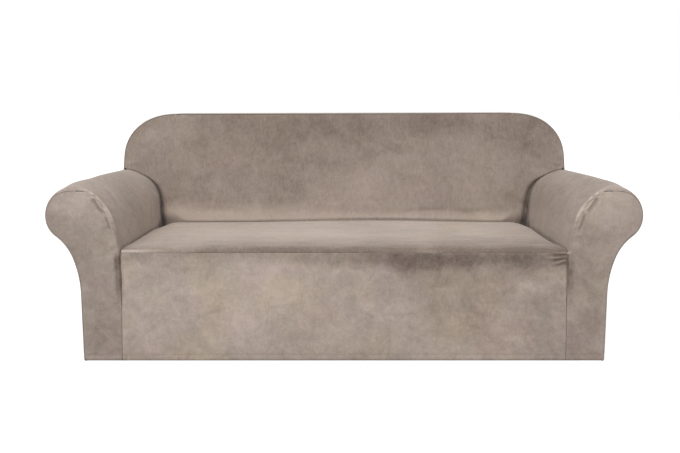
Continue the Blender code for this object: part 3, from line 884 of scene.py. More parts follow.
apronLook = dict(velvet, shift=(0.4, 2.0, -1.2), hues=0.85, clouds=1.2, blotches=1.1, strokes=0.3,
                 light=(0.50, 0.415, 0.355), dark=(0.26, 0.209, 0.177))
apronMarks = {
    "hollows": (
        # x, z, reach both ways, depth
        (-0.70, 0.26, 0.07, 0.07, -0.003),
        (0.69, 0.29, 0.07, 0.07, -0.004),
        (0.30, 0.20, 0.20, 0.20, 0.002),
        (-0.36, 0.16, 0.18, 0.18, -0.002),
    ),
    "creases": (
        # x, z, x, z, bow, width, depth, fades
        (0.779, 0.376, 0.685, 0.378, 0.03, 0.0045, -0.0055, 0.0, 0.8),
        (0.779, 0.371, 0.690, 0.367, 0.03, 0.0035, 0.0034, 0.0, 0.8),
        (0.779, 0.366, 0.695, 0.354, 0.04, 0.0045, -0.0062, 0.0, 0.8),
        (0.778, 0.360, 0.712, 0.341, 0.04, 0.0040, 0.0034, 0.0, 0.8),
        (0.778, 0.354, 0.722, 0.329, 0.05, 0.0050, -0.0056, 0.0, 0.8),
        (0.777, 0.345, 0.748, 0.318, 0.05, 0.0050, -0.0026, 0.0, 0.8),
        (-0.776, 0.366, -0.735, 0.352, -0.05, 0.0060, -0.0022, 0.0, 0.9),
        (-0.776, 0.340, -0.750, 0.310, -0.05, 0.0070, -0.0018, 0.0, 0.9),
        (-0.740, 0.300, -0.560, 0.350, -0.06, 0.0200, -0.0012, 0.5, 0.7),
        (-0.300, 0.330, -0.120, 0.345, 0.05, 0.0100, -0.0012, 0.5, 0.5),
        (0.120, 0.322, 0.330, 0.338, -0.04, 0.0120, -0.0012, 0.5, 0.5),
        (0.520, 0.280, 0.720, 0.330, -0.06, 0.0220, -0.0016, 0.6, 0.5),
    ),
    # lighter and darker patches, mostly lighter at the left and darker at the right
    "pileAndShade": (
        (-0.72, 0.20, 0.10, 0.20, 0.10), (-0.45, 0.20, 0.40, 0.16, 0.20), (0.60, 0.16, 0.28, 0.20, -0.18),
        (0.10, 0.12, 0.30, 0.10, 0.06), (-0.62, 0.34, 0.14, 0.06, -0.05), (-0.10, 0.28, 0.2, 0.08, 0.05),
    ),
    "leftValley": (
        # z, and how far the cloth has drawn back there
        (0.19, 0.0), (0.232, 0.007), (0.250, 0.009), (0.281, 0.013),
        (0.310, 0.008), (0.348, 0.003), (0.381, 0.006),
    ),
    "rightValley": (
        (0.19, 0.0), (0.238, 0.002), (0.262, 0.004), (0.335, 0.005), (0.360, 0.004), (0.372, 0.0),
    ),
    "shadeUnderSeam": (0.34, 0.48),                    # painted shade under the front seam,
    "bandFoot": (0.366, 0.325),                   # and down to which height, at its left and right
    "seamStep": (0.0015, 0.0050),                 # how far the apron lies behind that seam there
    "edgeHighlight": 8.0,        # painted highlight on its upright edges, for each metre that they have drawn back
}


def frontSeamTightness(x):
    # the front seam shows at its left and melts away towards the right
    return mix(0.0010, 0.0005, smooth((x + 0.66) / 0.30))


def frontSeamHighlight(x):
    # painted highlight along the front seam, fading out towards the left
    return 0.1 * smooth((x + 0.45) / 0.3)


def apron():
    curl = form["seamCurl"]
    top = form["frontSeam"] - halfSeam - curl
    heights = even([(form["hemRound"], 0), (top, 0)], 0.0048)[:, 0]
    leftInset = opening(heights, apronMarks["leftValley"])
    rightInset = opening(heights, apronMarks["rightValley"])
    half = form["seatHalf"] - halfSeam
    low, high = -(half - curl - leftInset), half - curl - rightInset
    across = spread(round(2 * half / 0.0056), 0.09)
    x = mix(low[:, None], high[:, None], across)
    z = heights[:, None] + (curl - frontSeamTightness(x)) * smooth((heights[:, None] - top + 0.02) / 0.02)
    free = inwards(x, -half, half) * inwards(z, 0.0, form["frontSeam"])
    push = free * (hollows(x, z, apronMarks["hollows"]) + swell(x, z, 31, 0.30, 0.0012))
    within = smooth((x - low[:, None]) / 0.006) * smooth((high[:, None] - x) / 0.006)
    push += within * creases(x, z, apronMarks["creases"])
    step = mix(*apronMarks["seamStep"], smooth((x + 0.30) / 0.6)) * inwards(x, -half, half, 0.05)
    push -= step * smooth((form["frontSeam"] - z) / 0.040) * smooth(z / 0.30) + hemDent(z)
    grid = np.stack([x, -push, z], axis=2)
    edges = {
        "left": drawnSeam(curl + 0.25 * leftInset, 0.75 * leftInset, leftInset),
        "right": drawnSeam(curl + 0.25 * rightInset, 0.75 * rightInset, rightInset),
        "high": seamEdge(frontSeamTightness(x[-1]), form["allowance"]),
        "low": hemEdge(),
    }
    finish = velvetFinish("velvet on the apron", apronLook)
    # patches of tone, with painted shade in the creases and painted highlight on their ridges
    pileAndShade = hollows(x, z, apronMarks["pileAndShade"]) + creaseShading * creases(x, z, apronMarks["creases"])
    # painted shade where the hem's stitching pulls in
    pileAndShade -= hemShading * hemDent(z)
    # painted shade under the front seam, down to a wavering foot, stronger towards the right
    rightward = smooth((x + 0.40) / 0.45)
    foot = mix(*apronMarks["bandFoot"], rightward) + swell(x, 0 * z, 37, 0.14, 0.008)
    pileAndShade -= mix(*apronMarks["shadeUnderSeam"], rightward) * smooth((z - foot) / 0.048 + 0.45)
    # painted highlight along the upright edges where they have drawn back
    for edge, inset in ((low, leftInset), (high, rightInset)):
        near = np.exp(-(((x - edge[:, None]) / 0.010) ** 2))
        pileAndShade += apronMarks["edgeHighlight"] * inset[:, None] * near
    # painted highlight along the front seam
    pileAndShade[-1] += frontSeamHighlight(x[-1])
    makeSheet("front_panel", grid, edges, pileAndShade, finish, shade=1.4)
    return grid


apronGrid = apron()
print("apron made")

# Seat

seatLook = dict(velvet, shift=(1.9, -3.0, 0.8), blotches=0.55, strokes=0.75, grain=1.4,
                strokeScale=(7.0, 34.0, 34.0),
                light=(0.50, 0.42, 0.365), dark=(0.30, 0.245, 0.208))
seatMarks = {
    "roll": 0.060,           # depth of the round front edge
    "crown": 0.004,          # how far the middle swells up
    "tuckRound": 0.015,      # rounding into the crease at the back
    "sideRound": 0.012,      # and at the arms
    "lip": 0.45,             # painted shade over the front edge
    "slope": 0.60,           # and painted shade on the way there
    "leftShare": 0.55,       # share of both that the left end has
    "gleam": 0.62,           # painted highlight on that edge's left end
    "sideShade": 0.50,       # painted shade along the arms
    "rearShade": 75.0,       # painted shade at the rear, for each metre that the rear edge has swollen
    "flap": 0.022,           # depth of the hidden flaps
    "cornerLean": {"left": 0.021, "right": 0.014},    # how far they run on sideways at the rear corners,
    "rearLean": 0.042,       # and under the back,
    "cornerDrop": -0.012,    # where they are shorter and lie flatter
    "hollows": (
        # x, y, reach both ways, depth
        (-0.42, 0.30, 0.26, 0.26, -0.004),
        (0.36, 0.34, 0.24, 0.24, -0.005),
        (0.66, 0.12, 0.09, 0.09, -0.004),
        (-0.68, 0.16, 0.10, 0.10, 0.003),
        (-0.790, 0.605, 0.040, 0.130, -0.024),
        (0.790, 0.605, 0.052, 0.110, -0.014),
        (0.785, 0.300, 0.030, 0.260, -0.015),
        (-0.785, 0.280, 0.030, 0.240, -0.005),
    ),
    "rise": (0.12, 0.570, 0.42, 0.10, 0.010),         # swelling of the rear edge
    "creases": (
        # x, y, x, y, bow, width, depth, fades
        (-0.52, 0.21, -0.10, 0.18, 0.02, 0.035, -0.0016, 0.5, 0.5),
        (0.22, 0.27, 0.62, 0.17, 0.03, 0.030, -0.0020, 0.5, 0.5),
        (0.30, 0.12, 0.66, 0.10, 0.02, 0.022, -0.0016, 0.5, 0.5),
        (-0.30, 0.42, 0.20, 0.40, 0.02, 0.040, -0.0012, 0.5, 0.5),
        (0.776, 0.003, 0.680, 0.012, 0.04, 0.0045, -0.0050, 0.0, 0.8),
        (0.776, 0.007, 0.690, 0.026, 0.05, 0.0040, 0.0026, 0.0, 0.8),
        (0.775, 0.012, 0.700, 0.050, 0.06, 0.0070, -0.0055, 0.0, 0.8),
        (0.775, 0.020, 0.735, 0.090, 0.06, 0.0080, -0.0040, 0.0, 0.8),
        (-0.775, 0.020, -0.730, 0.060, -0.06, 0.0080, -0.0018, 0.0, 0.9),
        (-0.779, 0.006, -0.520, 0.006, 0.00, 0.0045, 0.0014, 0.0, 0.4),
    ),
    "pileAndShade": (
        (-0.30, 0.35, 0.45, 0.20, 0.10), (0.45, 0.22, 0.20, 0.05, -0.06), (-0.50, 0.16, 0.20, 0.04, 0.08),
        (0.70, 0.16, 0.10, 0.16, -0.25),
    ),
}


def seat():
    curl = form["seamCurl"]
    rear = backFace(form["seatTop"]) - form["tuckGap"] - seatMarks["tuckRound"]
    lowest = form["frontSeam"] + halfSeam + curl
    turn = np.linspace(0, math.pi / 2, 15)
    rowY = seatMarks["roll"] * (1 - np.cos(turn))
    rowZ = mix(lowest, form["seatTop"], np.sin(turn))
    flatY = even([(seatMarks["roll"], 0), (rear, 0)], form["spacing"])[1:, 0]
    rowY = np.concatenate([rowY, flatY])
    rowZ = np.concatenate([rowZ, np.full(len(flatY), form["seatTop"])])
    inFrom = smooth(rowY / seatMarks["roll"])
    radius = mix(curl, seatMarks["sideRound"], inFrom)
    wall = mix(form["seatHalf"] - halfSeam, innerArmX(0.385) - form["tuckGap"], smooth(rowY / 0.02))
    half = wall - radius
    across = np.linspace(-1, 1, round(2 * form["seatHalf"] / form["spacing"]) + 1)
    x = half[:, None] * across
    y = np.broadcast_to(rowY[:, None], x.shape)
    free = inwards(x, -half[:, None], half[:, None]) * inwards(y, 0.0, rear)
    beside = smooth((np.abs(x) - 0.70) / 0.04) * smooth((y - 0.03) / 0.1)
    lift = free * (seatMarks["crown"] + swell(x, y, 41, 0.35, 0.0012))
    lift += np.maximum(free, beside) * hollows(x, y, seatMarks["hollows"])
    risen = hollows(x, y, [seatMarks["rise"]])
    lift += risen
    lift += creases(x, y, seatMarks["creases"])
    lift -= (curl - frontSeamTightness(x)) * smooth((lowest + 0.015 - rowZ[:, None]) / 0.015)
    grid = np.stack([x, y, rowZ[:, None] + lift], axis=2)
    drop = mix(form["allowance"], seatMarks["flap"], inFrom)
    drop += seatMarks["cornerDrop"] * smooth((rowY - 0.53) / 0.03)
    atCorner = smooth((np.abs(x[-1]) - 0.690) / 0.060)
    rearFlap = seatMarks["flap"] + seatMarks["cornerDrop"] * atCorner
    rearLean = 0.004 + seatMarks["rearLean"] * atCorner
    edges = {
        "low": seamEdge(frontSeamTightness(x[0]), form["allowance"]),
        "high": tuckEdge(seatMarks["tuckRound"], rearFlap, rearLean),
    }
    for word, cornerLean in seatMarks["cornerLean"].items():
        lean = cornerLean * smooth((rowY - 0.50) / 0.06) - 0.002 * inFrom
        edges[word] = tuckEdge(radius, drop, lean)
    finish = velvetFinish("velvet on the seat", seatLook)
    # patches of tone, with painted shade in the creases and painted highlight on their ridges
    pileAndShade = hollows(x, y, seatMarks["pileAndShade"]) + creaseShading * creases(x, y, seatMarks["creases"])
    # painted shade over the front edge and on the way there, less at the left end
    front = mix(seatMarks["leftShare"], 1.0, smooth((x + 0.60) / 0.14))
    frontShade = seatMarks["lip"] * smooth((0.060 - y) / 0.055) + seatMarks["slope"] * smooth((0.27 - y) / 0.22)
    pileAndShade -= front * frontShade
    # painted highlight on the front edge's left end
    pileAndShade += seatMarks["gleam"] * smooth((-0.65 - x) / 0.09) * smooth((0.010 - y) / 0.004)
    # painted highlight along the front seam
    pileAndShade[0] += frontSeamHighlight(x[0])
    # painted shade where the rear edge has swollen
    pileAndShade -= seatMarks["rearShade"] * risen * smooth((y - 0.535) / 0.018)
    # painted shade along the arms
    atArm = smooth((np.abs(x) - half[:, None] + 0.005) / 0.005) * smooth((y - 0.01) / 0.05)
    pileAndShade -= seatMarks["sideShade"] * atArm
    makeSheet("seat_panel", grid, edges, pileAndShade, finish)


seat()
print("seat made")

# Back: its face, the band over it and the rear

backLook = dict(velvet, shift=(-1.1, 0.7, 3.3), clouds=1.1, blotches=1.0, strokes=0.7, grain=0.75, hues=0.5,
                dark=(0.215, 0.170, 0.143), light=(0.385, 0.318, 0.272))
bandLook = dict(velvet, shift=(2.2, 1.7, -0.3), blotches=0.6)
rearLook = dict(velvet, shift=(0.9, -1.7, 2.3), blotches=0.8)
backMarks = {
    "crown": 0.010,          # how far the middle swells out
    # painted shade towards the top of the face, and painted light low down on it
    "topShade": 0.22,
    "lowLight": 0.22,
    "footLight": 0.70,       # further painted light above the seat
    "lightTop": (0.498, 0.457),    # height at which that starts, at the left and the right
    "lightFoot": 0.411,      # and at which it is full
    "leftGain": 0.45,        # how much stronger it is at the left
    "seatShade": 110.0,      # its thin line of painted shade there, for each metre that the seat has swollen
    "rollShade": (0.45, 0.95),     # painted shade on the foot where it rolls in, and in its corners
    "bandTone": -0.1,
    "tuckRound": {"left": 0.027, "right": 0.035},
    "slot": {"left": 0.008, "right": 0.012},      # opening beside the arm
    "flap": {"left": 0.007, "right": 0.004},
    "groove": 0.009,         # how far the back's foot rolls in behind the seat
    "pit": 0.012,            # and how far in its two corners
    "rollReach": (0.018, 0.055),   # heights over which it does
    "pitStart": {"left": (0.670, 0.070), "right": (0.670, 0.060)},
    "hollows": (
        # x, z, reach both ways, depth
        (-0.34, 0.60, 0.20, 0.20, -0.004),
        (0.40, 0.56, 0.22, 0.22, -0.005),
        (0.80, 0.69, 0.06, 0.06, -0.004),
        (-0.82, 0.68, 0.06, 0.06, -0.003),
        (0.05, 0.74, 0.20, 0.20, 0.003),
    ),
    "creases": (
        # x, z, x, z, bow, width, depth, fades
        (0.938, 0.634, 0.873, 0.661, 0.10, 0.0055, -0.0018, 0.1, 0.8),
        (0.940, 0.646, 0.895, 0.668, 0.10, 0.0055, 0.0020, 0.1, 0.8),
        (-0.935, 0.650, -0.880, 0.664, -0.10, 0.0055, 0.0018, 0.1, 0.8),
        (0.200, 0.436, 0.520, 0.446, 0.03, 0.0090, -0.0020, 0.5, 0.5),
        (0.400, 0.452, 0.740, 0.470, -0.05, 0.0120, -0.0020, 0.5, 0.5),
        (-0.700, 0.446, -0.380, 0.436, 0.04, 0.0120, -0.0016, 0.5, 0.5),
        (0.780, 0.470, 0.640, 0.520, -0.06, 0.0160, -0.0024, 0.0, 0.8),
        (-0.780, 0.470, -0.670, 0.510, 0.06, 0.0140, -0.0018, 0.0, 0.8),
        (-0.200, 0.650, 0.060, 0.600, 0.05, 0.0220, -0.0014, 0.5, 0.5),
        (0.150, 0.700, 0.420, 0.660, 0.05, 0.0250, -0.0014, 0.5, 0.5),
    ),
    # lighter and darker patches: lighter low down and at the left corner, darker along the top and at the
    # right corner
    "pileAndShade": (
        (0.0, 0.44, 0.70, 0.05, 0.20), (-0.10, 0.80, 0.35, 0.06, -0.10), (0.50, 0.80, 0.25, 0.06, -0.12),
        (-0.80, 0.76, 0.12, 0.12, 0.38), (0.80, 0.76, 0.18, 0.14, -0.36), (0.45, 0.82, 0.25, 0.06, -0.16),
        (0.02, 0.56, 0.18, 0.07, 0.06), (-0.50, 0.60, 0.25, 0.12, -0.04), (-0.70, 0.47, 0.06, 0.05, 0.20),
        (0.68, 0.44, 0.06, 0.03, 0.12),
    ),
}


def bandLine(inset, start=0.0):
    # right half of the back's outline above the arms, ending in the middle of the top
    half, top = form["backHalf"] - inset, form["backTop"] - inset
    wide, tall = form["corner"][0] - inset, form["corner"][1] - inset
    turn = np.linspace(0, math.pi / 2, 60)
    fullX, fullZ = np.cos(turn) ** form["fullness"], np.sin(turn) ** form["fullness"]
    bend = np.stack([half - wide * (1 - fullX), top - tall * (1 - fullZ)], axis=1)
    base = armShape["rollTop"][1] + form["seamGap"] + start
    return np.vstack([[(half, base)], bend])


def backSide(word):
    # right edge of the back's face: beside the arm, then under the band
    line, normal = outline[: topAt + 1], outNormal[: topAt + 1]
    radius = mix(backMarks["tuckRound"][word], armShape["rimLow"], smooth(normal[:, 1]))
    slot = backMarks["slot"][word] * smooth((0.600 - line[:, 1]) / 0.075)
    swelling = besideBack(word, backFace(outline[:, 1]))[: topAt + 1]
    beside = line + normal * (form["tuckGap"] + radius + slot + swelling)[:, None]
    above = bandLine(form["bandRound"] + halfSeam + form["seamCurl"], 0.010)
    return beside, above, radius, slot


def footRoll(x, z):
    # how far the back's face rolls in above the seat, deepest in the two corners
    depth = np.zeros(np.broadcast(x, z).shape)
    for word, side in armSides.items():
        start, width = backMarks["pitStart"][word]
        corner = smooth((side * x - start) / width)
        here = np.where(side * x > 0, 1.0, 0.0)
        size = mix(backMarks["groove"], backMarks["pit"], corner)
        reach = mix(*backMarks["rollReach"], corner)
        depth += here * size * (1 - smooth((z - 0.390) / reach))
    return depth


def insideBack():
    curl = form["seamCurl"]
    sides, tucks = {}, {}
    for word in ("left", "right"):
        beside, above, radius, slot = backSide(word)
        lower = even(beside, count=72)
        upper = even(above, count=60)
        sides[word] = np.vstack([lower, upper])
        at, known = np.linspace(0, 1, len(lower)), np.linspace(0, 1, len(radius))
        radius, slot = np.interp(at, known, radius), np.interp(at, known, slot)
        flap = mix(0.008, backMarks["flap"][word], smooth((radius - 0.004) / 0.003))
        # how much painted shade the tucks beside the arms take, less where they round over the arm's top
        dark = mix(0.35, 1.0, smooth((radius - 0.004) / 0.006))
        tucks[word] = tuckEdge(radius, flap, slot + 0.0015 * smooth(slot / 0.004), dark)
    rows = len(sides["left"])
    columns = round(2 * form["backHalf"] / 0.0070)
    across = np.linspace(-1, 1, columns + 1)
    share = (across + 1) / 2
    x = mix(-sides["left"][:, :1], sides["right"][:, :1], share)
    edgeZ = np.where(across < 0, sides["left"][:, 1:], sides["right"][:, 1:])
    levelZ = np.linspace(edgeZ[0], edgeZ[-1], rows)
    z = mix(levelZ, edgeZ, np.abs(across) ** 4)
    nearest, _ = lineDistance(np.abs(x), z, sides["right"][::6])
    free = smooth(nearest / 0.110) * inwards(z, form["seatTop"], form["backTop"] + 1)
    push = free * (backMarks["crown"] + swell(x, z, 51, 0.33, 0.0015))
    push += free * hollows(x, z, backMarks["hollows"])
    roll = footRoll(x, z)
    push += creases(x, z, backMarks["creases"]) - roll
    grid = np.stack([x, backFace(z) - push, z + topRise(x, z)], axis=2)
    edges = {}
    seam = seamEdge(curl, form["allowance"])
    for word, tuck in tucks.items():
        edges[word] = np.concatenate([tuck, seam * np.ones((rows - len(tuck), 1, 1))])
    edges["high"] = seam
    edges["low"] = flatEdge(0.002)
    finish = velvetFinish("velvet on the back", backLook)
    # patches of tone, with painted shade in the creases and painted highlight on their ridges
    pileAndShade = hollows(x, z, backMarks["pileAndShade"]) + creaseShading * creases(x, z, backMarks["creases"])
    # painted shade where the foot rolls in, darkest in the corners
    pileAndShade -= smooth(roll / 0.011) * mix(*backMarks["rollShade"], smooth((np.abs(x) - 0.66) / 0.08))
    # painted shade towards the top, painted light low down
    pileAndShade -= backMarks["topShade"] * smooth((z - 0.60) / 0.25)
    pileAndShade += backMarks["lowLight"] * smooth((0.50 - z) / 0.09)
    # painted light on the foot, down to a thin painted shade along the seat
    start = mix(*backMarks["lightTop"], smooth((x + 0.30) / 0.35))
    foot = smooth((start - z) / (start - backMarks["lightFoot"])) * smooth((0.80 - np.abs(x)) / 0.10)
    gain = 1 + backMarks["leftGain"] * smooth((-0.30 - x) / 0.25)
    pileAndShade += backMarks["footLight"] * gain * foot
    rise = hollows(x, seatMarks["rise"][1], [seatMarks["rise"]])
    pileAndShade -= backMarks["seatShade"] * rise * smooth((form["seatTop"] + rise + 0.0105 - z) / 0.005)
    makeSheet(
        "inside_back_panel", grid, edges, pileAndShade, finish, shade=0.8
    )


def backBand():
    curl = form["seamCurl"]
    half = bandLine(0.0)
    full = np.vstack([half * (-1, 1), half[::-1]])
    line = even(full, form["spacing"])
    x, z = line[:, 0], line[:, 1]
    turnSize = form["bandRound"] - curl - halfSeam
    start, end = backFace(z) + turnSize, form["depth"] - turnSize
    t = np.linspace(0, 1, 28)[:, None]
    y = mix(start, end, t)
    run = np.gradient(line, axis=0)
    normal = unit(np.stack([-run[:, 1], run[:, 0]], axis=1))
    girthAlong = np.arange(len(line)) * form["spacing"]
    lift = inwards(t, 0, 1, 0.3) * swell(girthAlong, y, 61, 0.25, 0.0008)
    grid = np.stack([x + normal[:, 0] * lift, y, z + normal[:, 1] * lift + topRise(x, z)], axis=2)
    rim = rimEdge(turnSize, curl, form["allowance"])
    edges = {"low": rim, "high": rim, "left": seamEdge(curl, 0.004), "right": seamEdge(curl, 0.004)}
    finish = velvetFinish("velvet on the band", bandLook)
    pileAndShade = np.full(grid.shape[:2], backMarks["bandTone"])
    makeSheet("back_band", grid, edges, pileAndShade, finish)


rearMarks = {
    "hollows": (
        # x, z, reach both ways, depth
        (-0.40, 0.52, 0.30, 0.20, -0.004),
        (0.35, 0.58, 0.28, 0.20, -0.004),
        (0.10, 0.22, 0.35, 0.14, 0.003),
        (-0.65, 0.22, 0.20, 0.14, -0.003),
    ),
    "creases": (
        # x, z, x, z, bow, width, depth, fades
        (-0.93, 0.60, -0.70, 0.52, 0.08, 0.020, -0.0030, 0.1, 0.8),
        (-0.93, 0.57, -0.78, 0.44, 0.08, 0.018, -0.0024, 0.1, 0.8),
        (0.93, 0.60, 0.68, 0.54, -0.08, 0.020, -0.0030, 0.1, 0.8),
        (0.93, 0.57, 0.80, 0.43, -0.08, 0.018, -0.0024, 0.1, 0.8),
        (-0.30, 0.70, 0.20, 0.68, 0.03, 0.040, -0.0020, 0.5, 0.5),
        (-0.90, 0.30, -0.60, 0.34, 0.05, 0.025, -0.0020, 0.2, 0.8),
        (0.90, 0.28, 0.62, 0.33, -0.05, 0.025, -0.0020, 0.2, 0.8),
    ),
    "pileAndShade": ((-0.5, 0.6, 0.35, 0.2, 0.08), (0.5, 0.35, 0.4, 0.2, -0.08)),
}


def outsideBack():
    curl = form["seamCurl"]
    inset = form["rearRound"] + halfSeam + curl
    side = (outline - outNormal * inset)[topAt + 3 :][::-1]
    above = bandLine(form["bandRound"] + halfSeam + curl, 0.006)
    line = even(np.vstack([side, above]), form["rearSpacing"])
    columns = round(2 * form["backHalf"] / form["rearSpacing"])
    across = np.linspace(1, -1, columns + 1)
    x = line[:, :1] * across
    levelZ = np.linspace(line[0, 1], line[-1, 1], len(line))[:, None]
    z = mix(levelZ, line[:, 1:], np.abs(across) ** 4)
    reach = np.interp(z, line[:, 1], line[:, 0])
    free = inwards(x, -reach, reach) * inwards(z, 0.0, form["backTop"])
    push = free * (swell(x, z, 71, 0.36, 0.0016) + hollows(x, z, rearMarks["hollows"]))
    push += free * creases(x, z, rearMarks["creases"])
    grid = np.stack([x, form["depth"] + push, z + topRise(x, z)], axis=2)
    seam = seamEdge(curl, form["allowance"])
    edges = {"left": seam, "right": seam, "high": seam, "low": hemEdge()}
    finish = velvetFinish("velvet on the rear", rearLook)
    pileAndShade = hollows(x, z, rearMarks["pileAndShade"])
    makeSheet("outside_back_panel", grid, edges, pileAndShade, finish)
    return grid


insideBack()
backBand()
rearGrid = outsideBack()
print("back made")

# Stitches along the hem

stitching = {
    "Pitch": 0.0046,         # from one stitch to the next
    "Length": 0.0031,
    "Width": 0.0006,
    "Unevenness": 0.09,      # share by which their sizes vary
    "lift": 0.0001,          # how far they stand off the cloth
    "thread": (0.20, 0.163, 0.137, 1),
    "threadLight": 1.35,     # how much lighter its worn places are
}


def threadFinish():
    finish, tree, shader, place = newFinish("hem thread")
    worn = noiseAt(tree, place, 60.0, 2.0)
    light = tuple(stitching["threadLight"] * v for v in stitching["thread"][:3]) + (1,)
    feed(tree, shader, {"Base Color": blend(tree, worn, stitching["thread"], light), "Roughness": 0.6})
    return finish


def stitchTree():
    # stitches laid end to end along a line, each turned to the cloth it lies on
    tree = bpy.data.node_groups.new("stitchRow", "GeometryNodeTree")
    inputs = [("Line", "NodeSocketGeometry"), ("Finish", "NodeSocketMaterial")]
    inputs += [(name, "NodeSocketFloat") for name in ("Pitch", "Length", "Width", "Unevenness")]
    for name, kind in inputs:
        tree.interface.new_socket(name, in_out="INPUT", socket_type=kind)
    tree.interface.new_socket("Stitches", in_out="OUTPUT", socket_type="NodeSocketGeometry")
    given, made = tree.nodes.new("NodeGroupInput").outputs, tree.nodes.new("NodeGroupOutput")
    curve = addNode(tree, "GeometryNodeMeshToCurve", {"Mesh": given["Line"]}).outputs[0]
    links = {"Curve": curve, "Length": given["Pitch"]}
    row = addNode(tree, "GeometryNodeResampleCurve", links, mode="LENGTH")
    links = {"Name": "outward"}
    outward = addNode(tree, "GeometryNodeInputNamedAttribute", links, data_type="FLOAT_VECTOR")
    links = {0: outward.outputs[0], 1: tree.nodes.new("GeometryNodeInputTangent").outputs[0]}
    turn = addNode(tree, "FunctionNodeAxesToRotation", links, primary_axis="Z", secondary_axis="X")
    ball = addNode(tree, "GeometryNodeMeshUVSphere", {"Segments": 8, "Rings": 4, "Radius": 0.5}).outputs[0]
    links = {"X": given["Length"], "Y": given["Width"], "Z": given["Width"]}
    size = addNode(tree, "ShaderNodeCombineXYZ", links)
    smaller = addNode(tree, "GeometryNodeTransform", {"Geometry": ball, "Scale": size.outputs[0]}).outputs[0]
    low = calc(tree, "SUBTRACT", 1.0, given["Unevenness"])
    high = calc(tree, "ADD", 1.0, given["Unevenness"])
    links = {"Seed": 7, "Min": low, "Max": high}
    chance = addNode(tree, "FunctionNodeRandomValue", links, data_type="FLOAT_VECTOR")
    places = addNode(tree, "GeometryNodeInstanceOnPoints", {
        "Points": row.outputs[0],
        "Instance": smaller,
        "Rotation": turn.outputs[0],
        "Scale": chance.outputs["Value"],
    })
    real = addNode(tree, "GeometryNodeRealizeInstances", {0: places.outputs[0]}).outputs[0]
    painted = addNode(tree, "GeometryNodeSetMaterial", {"Geometry": real, "Material": given["Finish"]})
    tree.links.new(painted.outputs[0], made.inputs[0])
    return tree


def atHeight(lines, height):
    # where each of the lines, starting at the hem, passes the given height
    found = []
    for line in lines:
        near = line[:8]
        found.append([np.interp(height, near[:, 2], near[:, k]) for k in range(3)])
    return np.array(found)


def hemStitches():
    height = form["hemStitch"]
    runs = [(atHeight(apronGrid.swapaxes(0, 1)[1:-1], height), (0, -1, 0))]
    runs.append((atHeight(rearGrid.swapaxes(0, 1)[1:-1], height), (0, 1, 0)))
    for word, side in armSides.items():
        runs.append((atHeight(armFrontGrids[word].swapaxes(0, 1)[2:-1], height), (0, -1, 0)))
        runs.append((atHeight(armGrids[word][1:-1, ::-1], height), (side, 0, 0)))
    points, links, outward = [], [], []
    for run, away in runs:
        links += [(len(points) + k, len(points) + k + 1) for k in range(len(run) - 1)]
        points += (run + np.array(away) * stitching["lift"] + (0.0, frontPlace, hemPlace)).tolist()
        outward += [away] * len(run)
    mesh = bpy.data.meshes.new("hem_stitches")
    mesh.from_pydata(points, links, [])
    mesh.attributes.new("outward", "FLOAT_VECTOR", "POINT").data.foreach_set("vector", np.ravel(outward))
    rows = bpy.data.objects.new("hem_stitches", mesh)
    bpy.context.scene.collection.objects.link(rows)
    tree = stitchTree()
    maker = rows.modifiers.new("Stitches", "NODES")
    maker.node_group = tree
    thread = threadFinish()
    for item in tree.interface.items_tree:
        if item.in_out == "INPUT" and item.name in stitching:
            maker[item.identifier] = stitching[item.name]
        elif item.name == "Finish":
            maker[item.identifier] = thread
    seen = rows.evaluated_get(bpy.context.evaluated_depsgraph_get())
    made = bpy.data.meshes.new_from_object(seen)
    rows.modifiers.remove(maker)
    rows.data = made
    made.shade_smooth()
    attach(rows, "root")
    print("hem stitches", len(made.polygons), "faces")


hemStitches()

# Floor, light and camera

studio = {
    "floorSeen": 0.55,       # the pale floor as the camera sees it
    "floorGlow": 0.66,
    "floorBounce": 0.42,     # and as it lights the cover
    "backdrop": 1.0,
    "skyStrength": 0.90,
    "keyStrength": 1.35,
    "keyTurn": (44, 0, -24),     # degrees about x, y and z
    "keySize": 55,           # how wide the lamp looks, in degrees
}


def forCamera(tree, whenSeen, otherwise):
    seen = tree.nodes.new("ShaderNodeLightPath").outputs["Is Camera Ray"]
    return addNode(tree, "ShaderNodeMixShader", {0: seen, 1: otherwise, 2: whenSeen}).outputs[0]


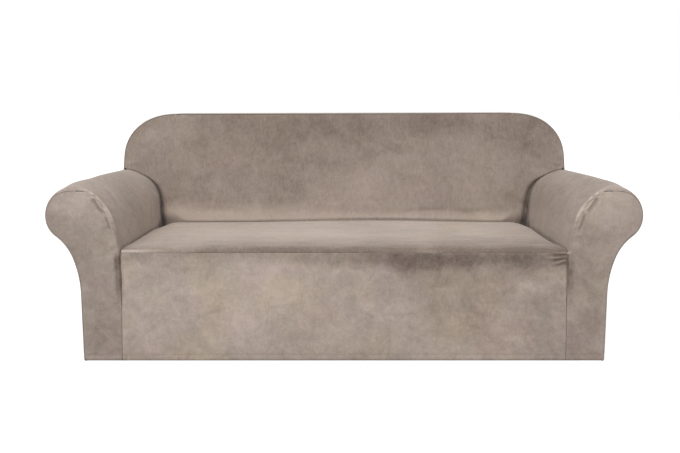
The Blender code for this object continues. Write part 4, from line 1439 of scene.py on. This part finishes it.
def studioSet():
    bpy.ops.mesh.primitive_plane_add(size=60, location=(0, 0, hemPlace - 0.001))
    floor = bpy.context.object
    floor.name = "studio_floor"
    paint = bpy.data.materials.new("pale floor")
    paint.use_nodes = True
    tree = paint.node_tree
    tree.nodes.remove(tree.nodes["Principled BSDF"])
    pale, dull = ((studio[key],) * 3 + (1,) for key in ("floorSeen", "floorBounce"))
    lit = addNode(tree, "ShaderNodeBsdfDiffuse", {"Color": pale}).outputs[0]
    glow = addNode(tree, "ShaderNodeEmission", {"Strength": studio["floorGlow"]}).outputs[0]
    seen = addNode(tree, "ShaderNodeAddShader", {0: lit, 1: glow})
    bounce = addNode(tree, "ShaderNodeBsdfDiffuse", {"Color": dull}).outputs[0]
    light = forCamera(tree, seen.outputs[0], bounce)
    tree.links.new(light, tree.nodes["Material Output"].inputs["Surface"])
    floor.data.materials.append(paint)
    world = bpy.data.worlds.new("studio")
    world.use_nodes = True
    tree = world.node_tree
    tree.nodes.remove(tree.nodes["Background"])
    white = (1, 1, 1, 1)
    backdrop = addNode(tree, "ShaderNodeBackground", {"Color": white, "Strength": studio["backdrop"]})
    sky = addNode(tree, "ShaderNodeBackground", {"Color": white, "Strength": studio["skyStrength"]})
    light = forCamera(tree, backdrop.outputs[0], sky.outputs[0])
    tree.links.new(light, tree.nodes["World Output"].inputs["Surface"])
    bpy.context.scene.world = world
    key = bpy.data.lights.new("key", "SUN")
    key.energy = studio["keyStrength"]
    key.angle = math.radians(studio["keySize"])
    lamp = bpy.data.objects.new("key", key)
    lamp.rotation_euler = [math.radians(v) for v in studio["keyTurn"]]
    bpy.context.scene.collection.objects.link(lamp)
    bpy.context.scene.view_settings.view_transform = "Standard"


view = {
    "away": 2.571,           # from the arm fronts
    "height": 0.9081,        # above the hem
    "pitch": 3.0,            # degrees down
    "lens": 39.28,           # millimetres
    "shift": (-0.0061, -0.1245),     # of the picture, as shares of its width
}


def addCamera():
    lens = bpy.data.cameras.new("camera")
    lens.lens = view["lens"]
    lens.shift_x, lens.shift_y = view["shift"]
    camera = bpy.data.objects.new("camera", lens)
    camera.location = (0, frontPlace - view["away"], hemPlace + view["height"])
    camera.rotation_euler = (math.radians(90 - view["pitch"]), 0, 0)
    bpy.context.scene.collection.objects.link(camera)
    bpy.context.scene.camera = camera


studioSet()
addCamera()
print("scene ready")
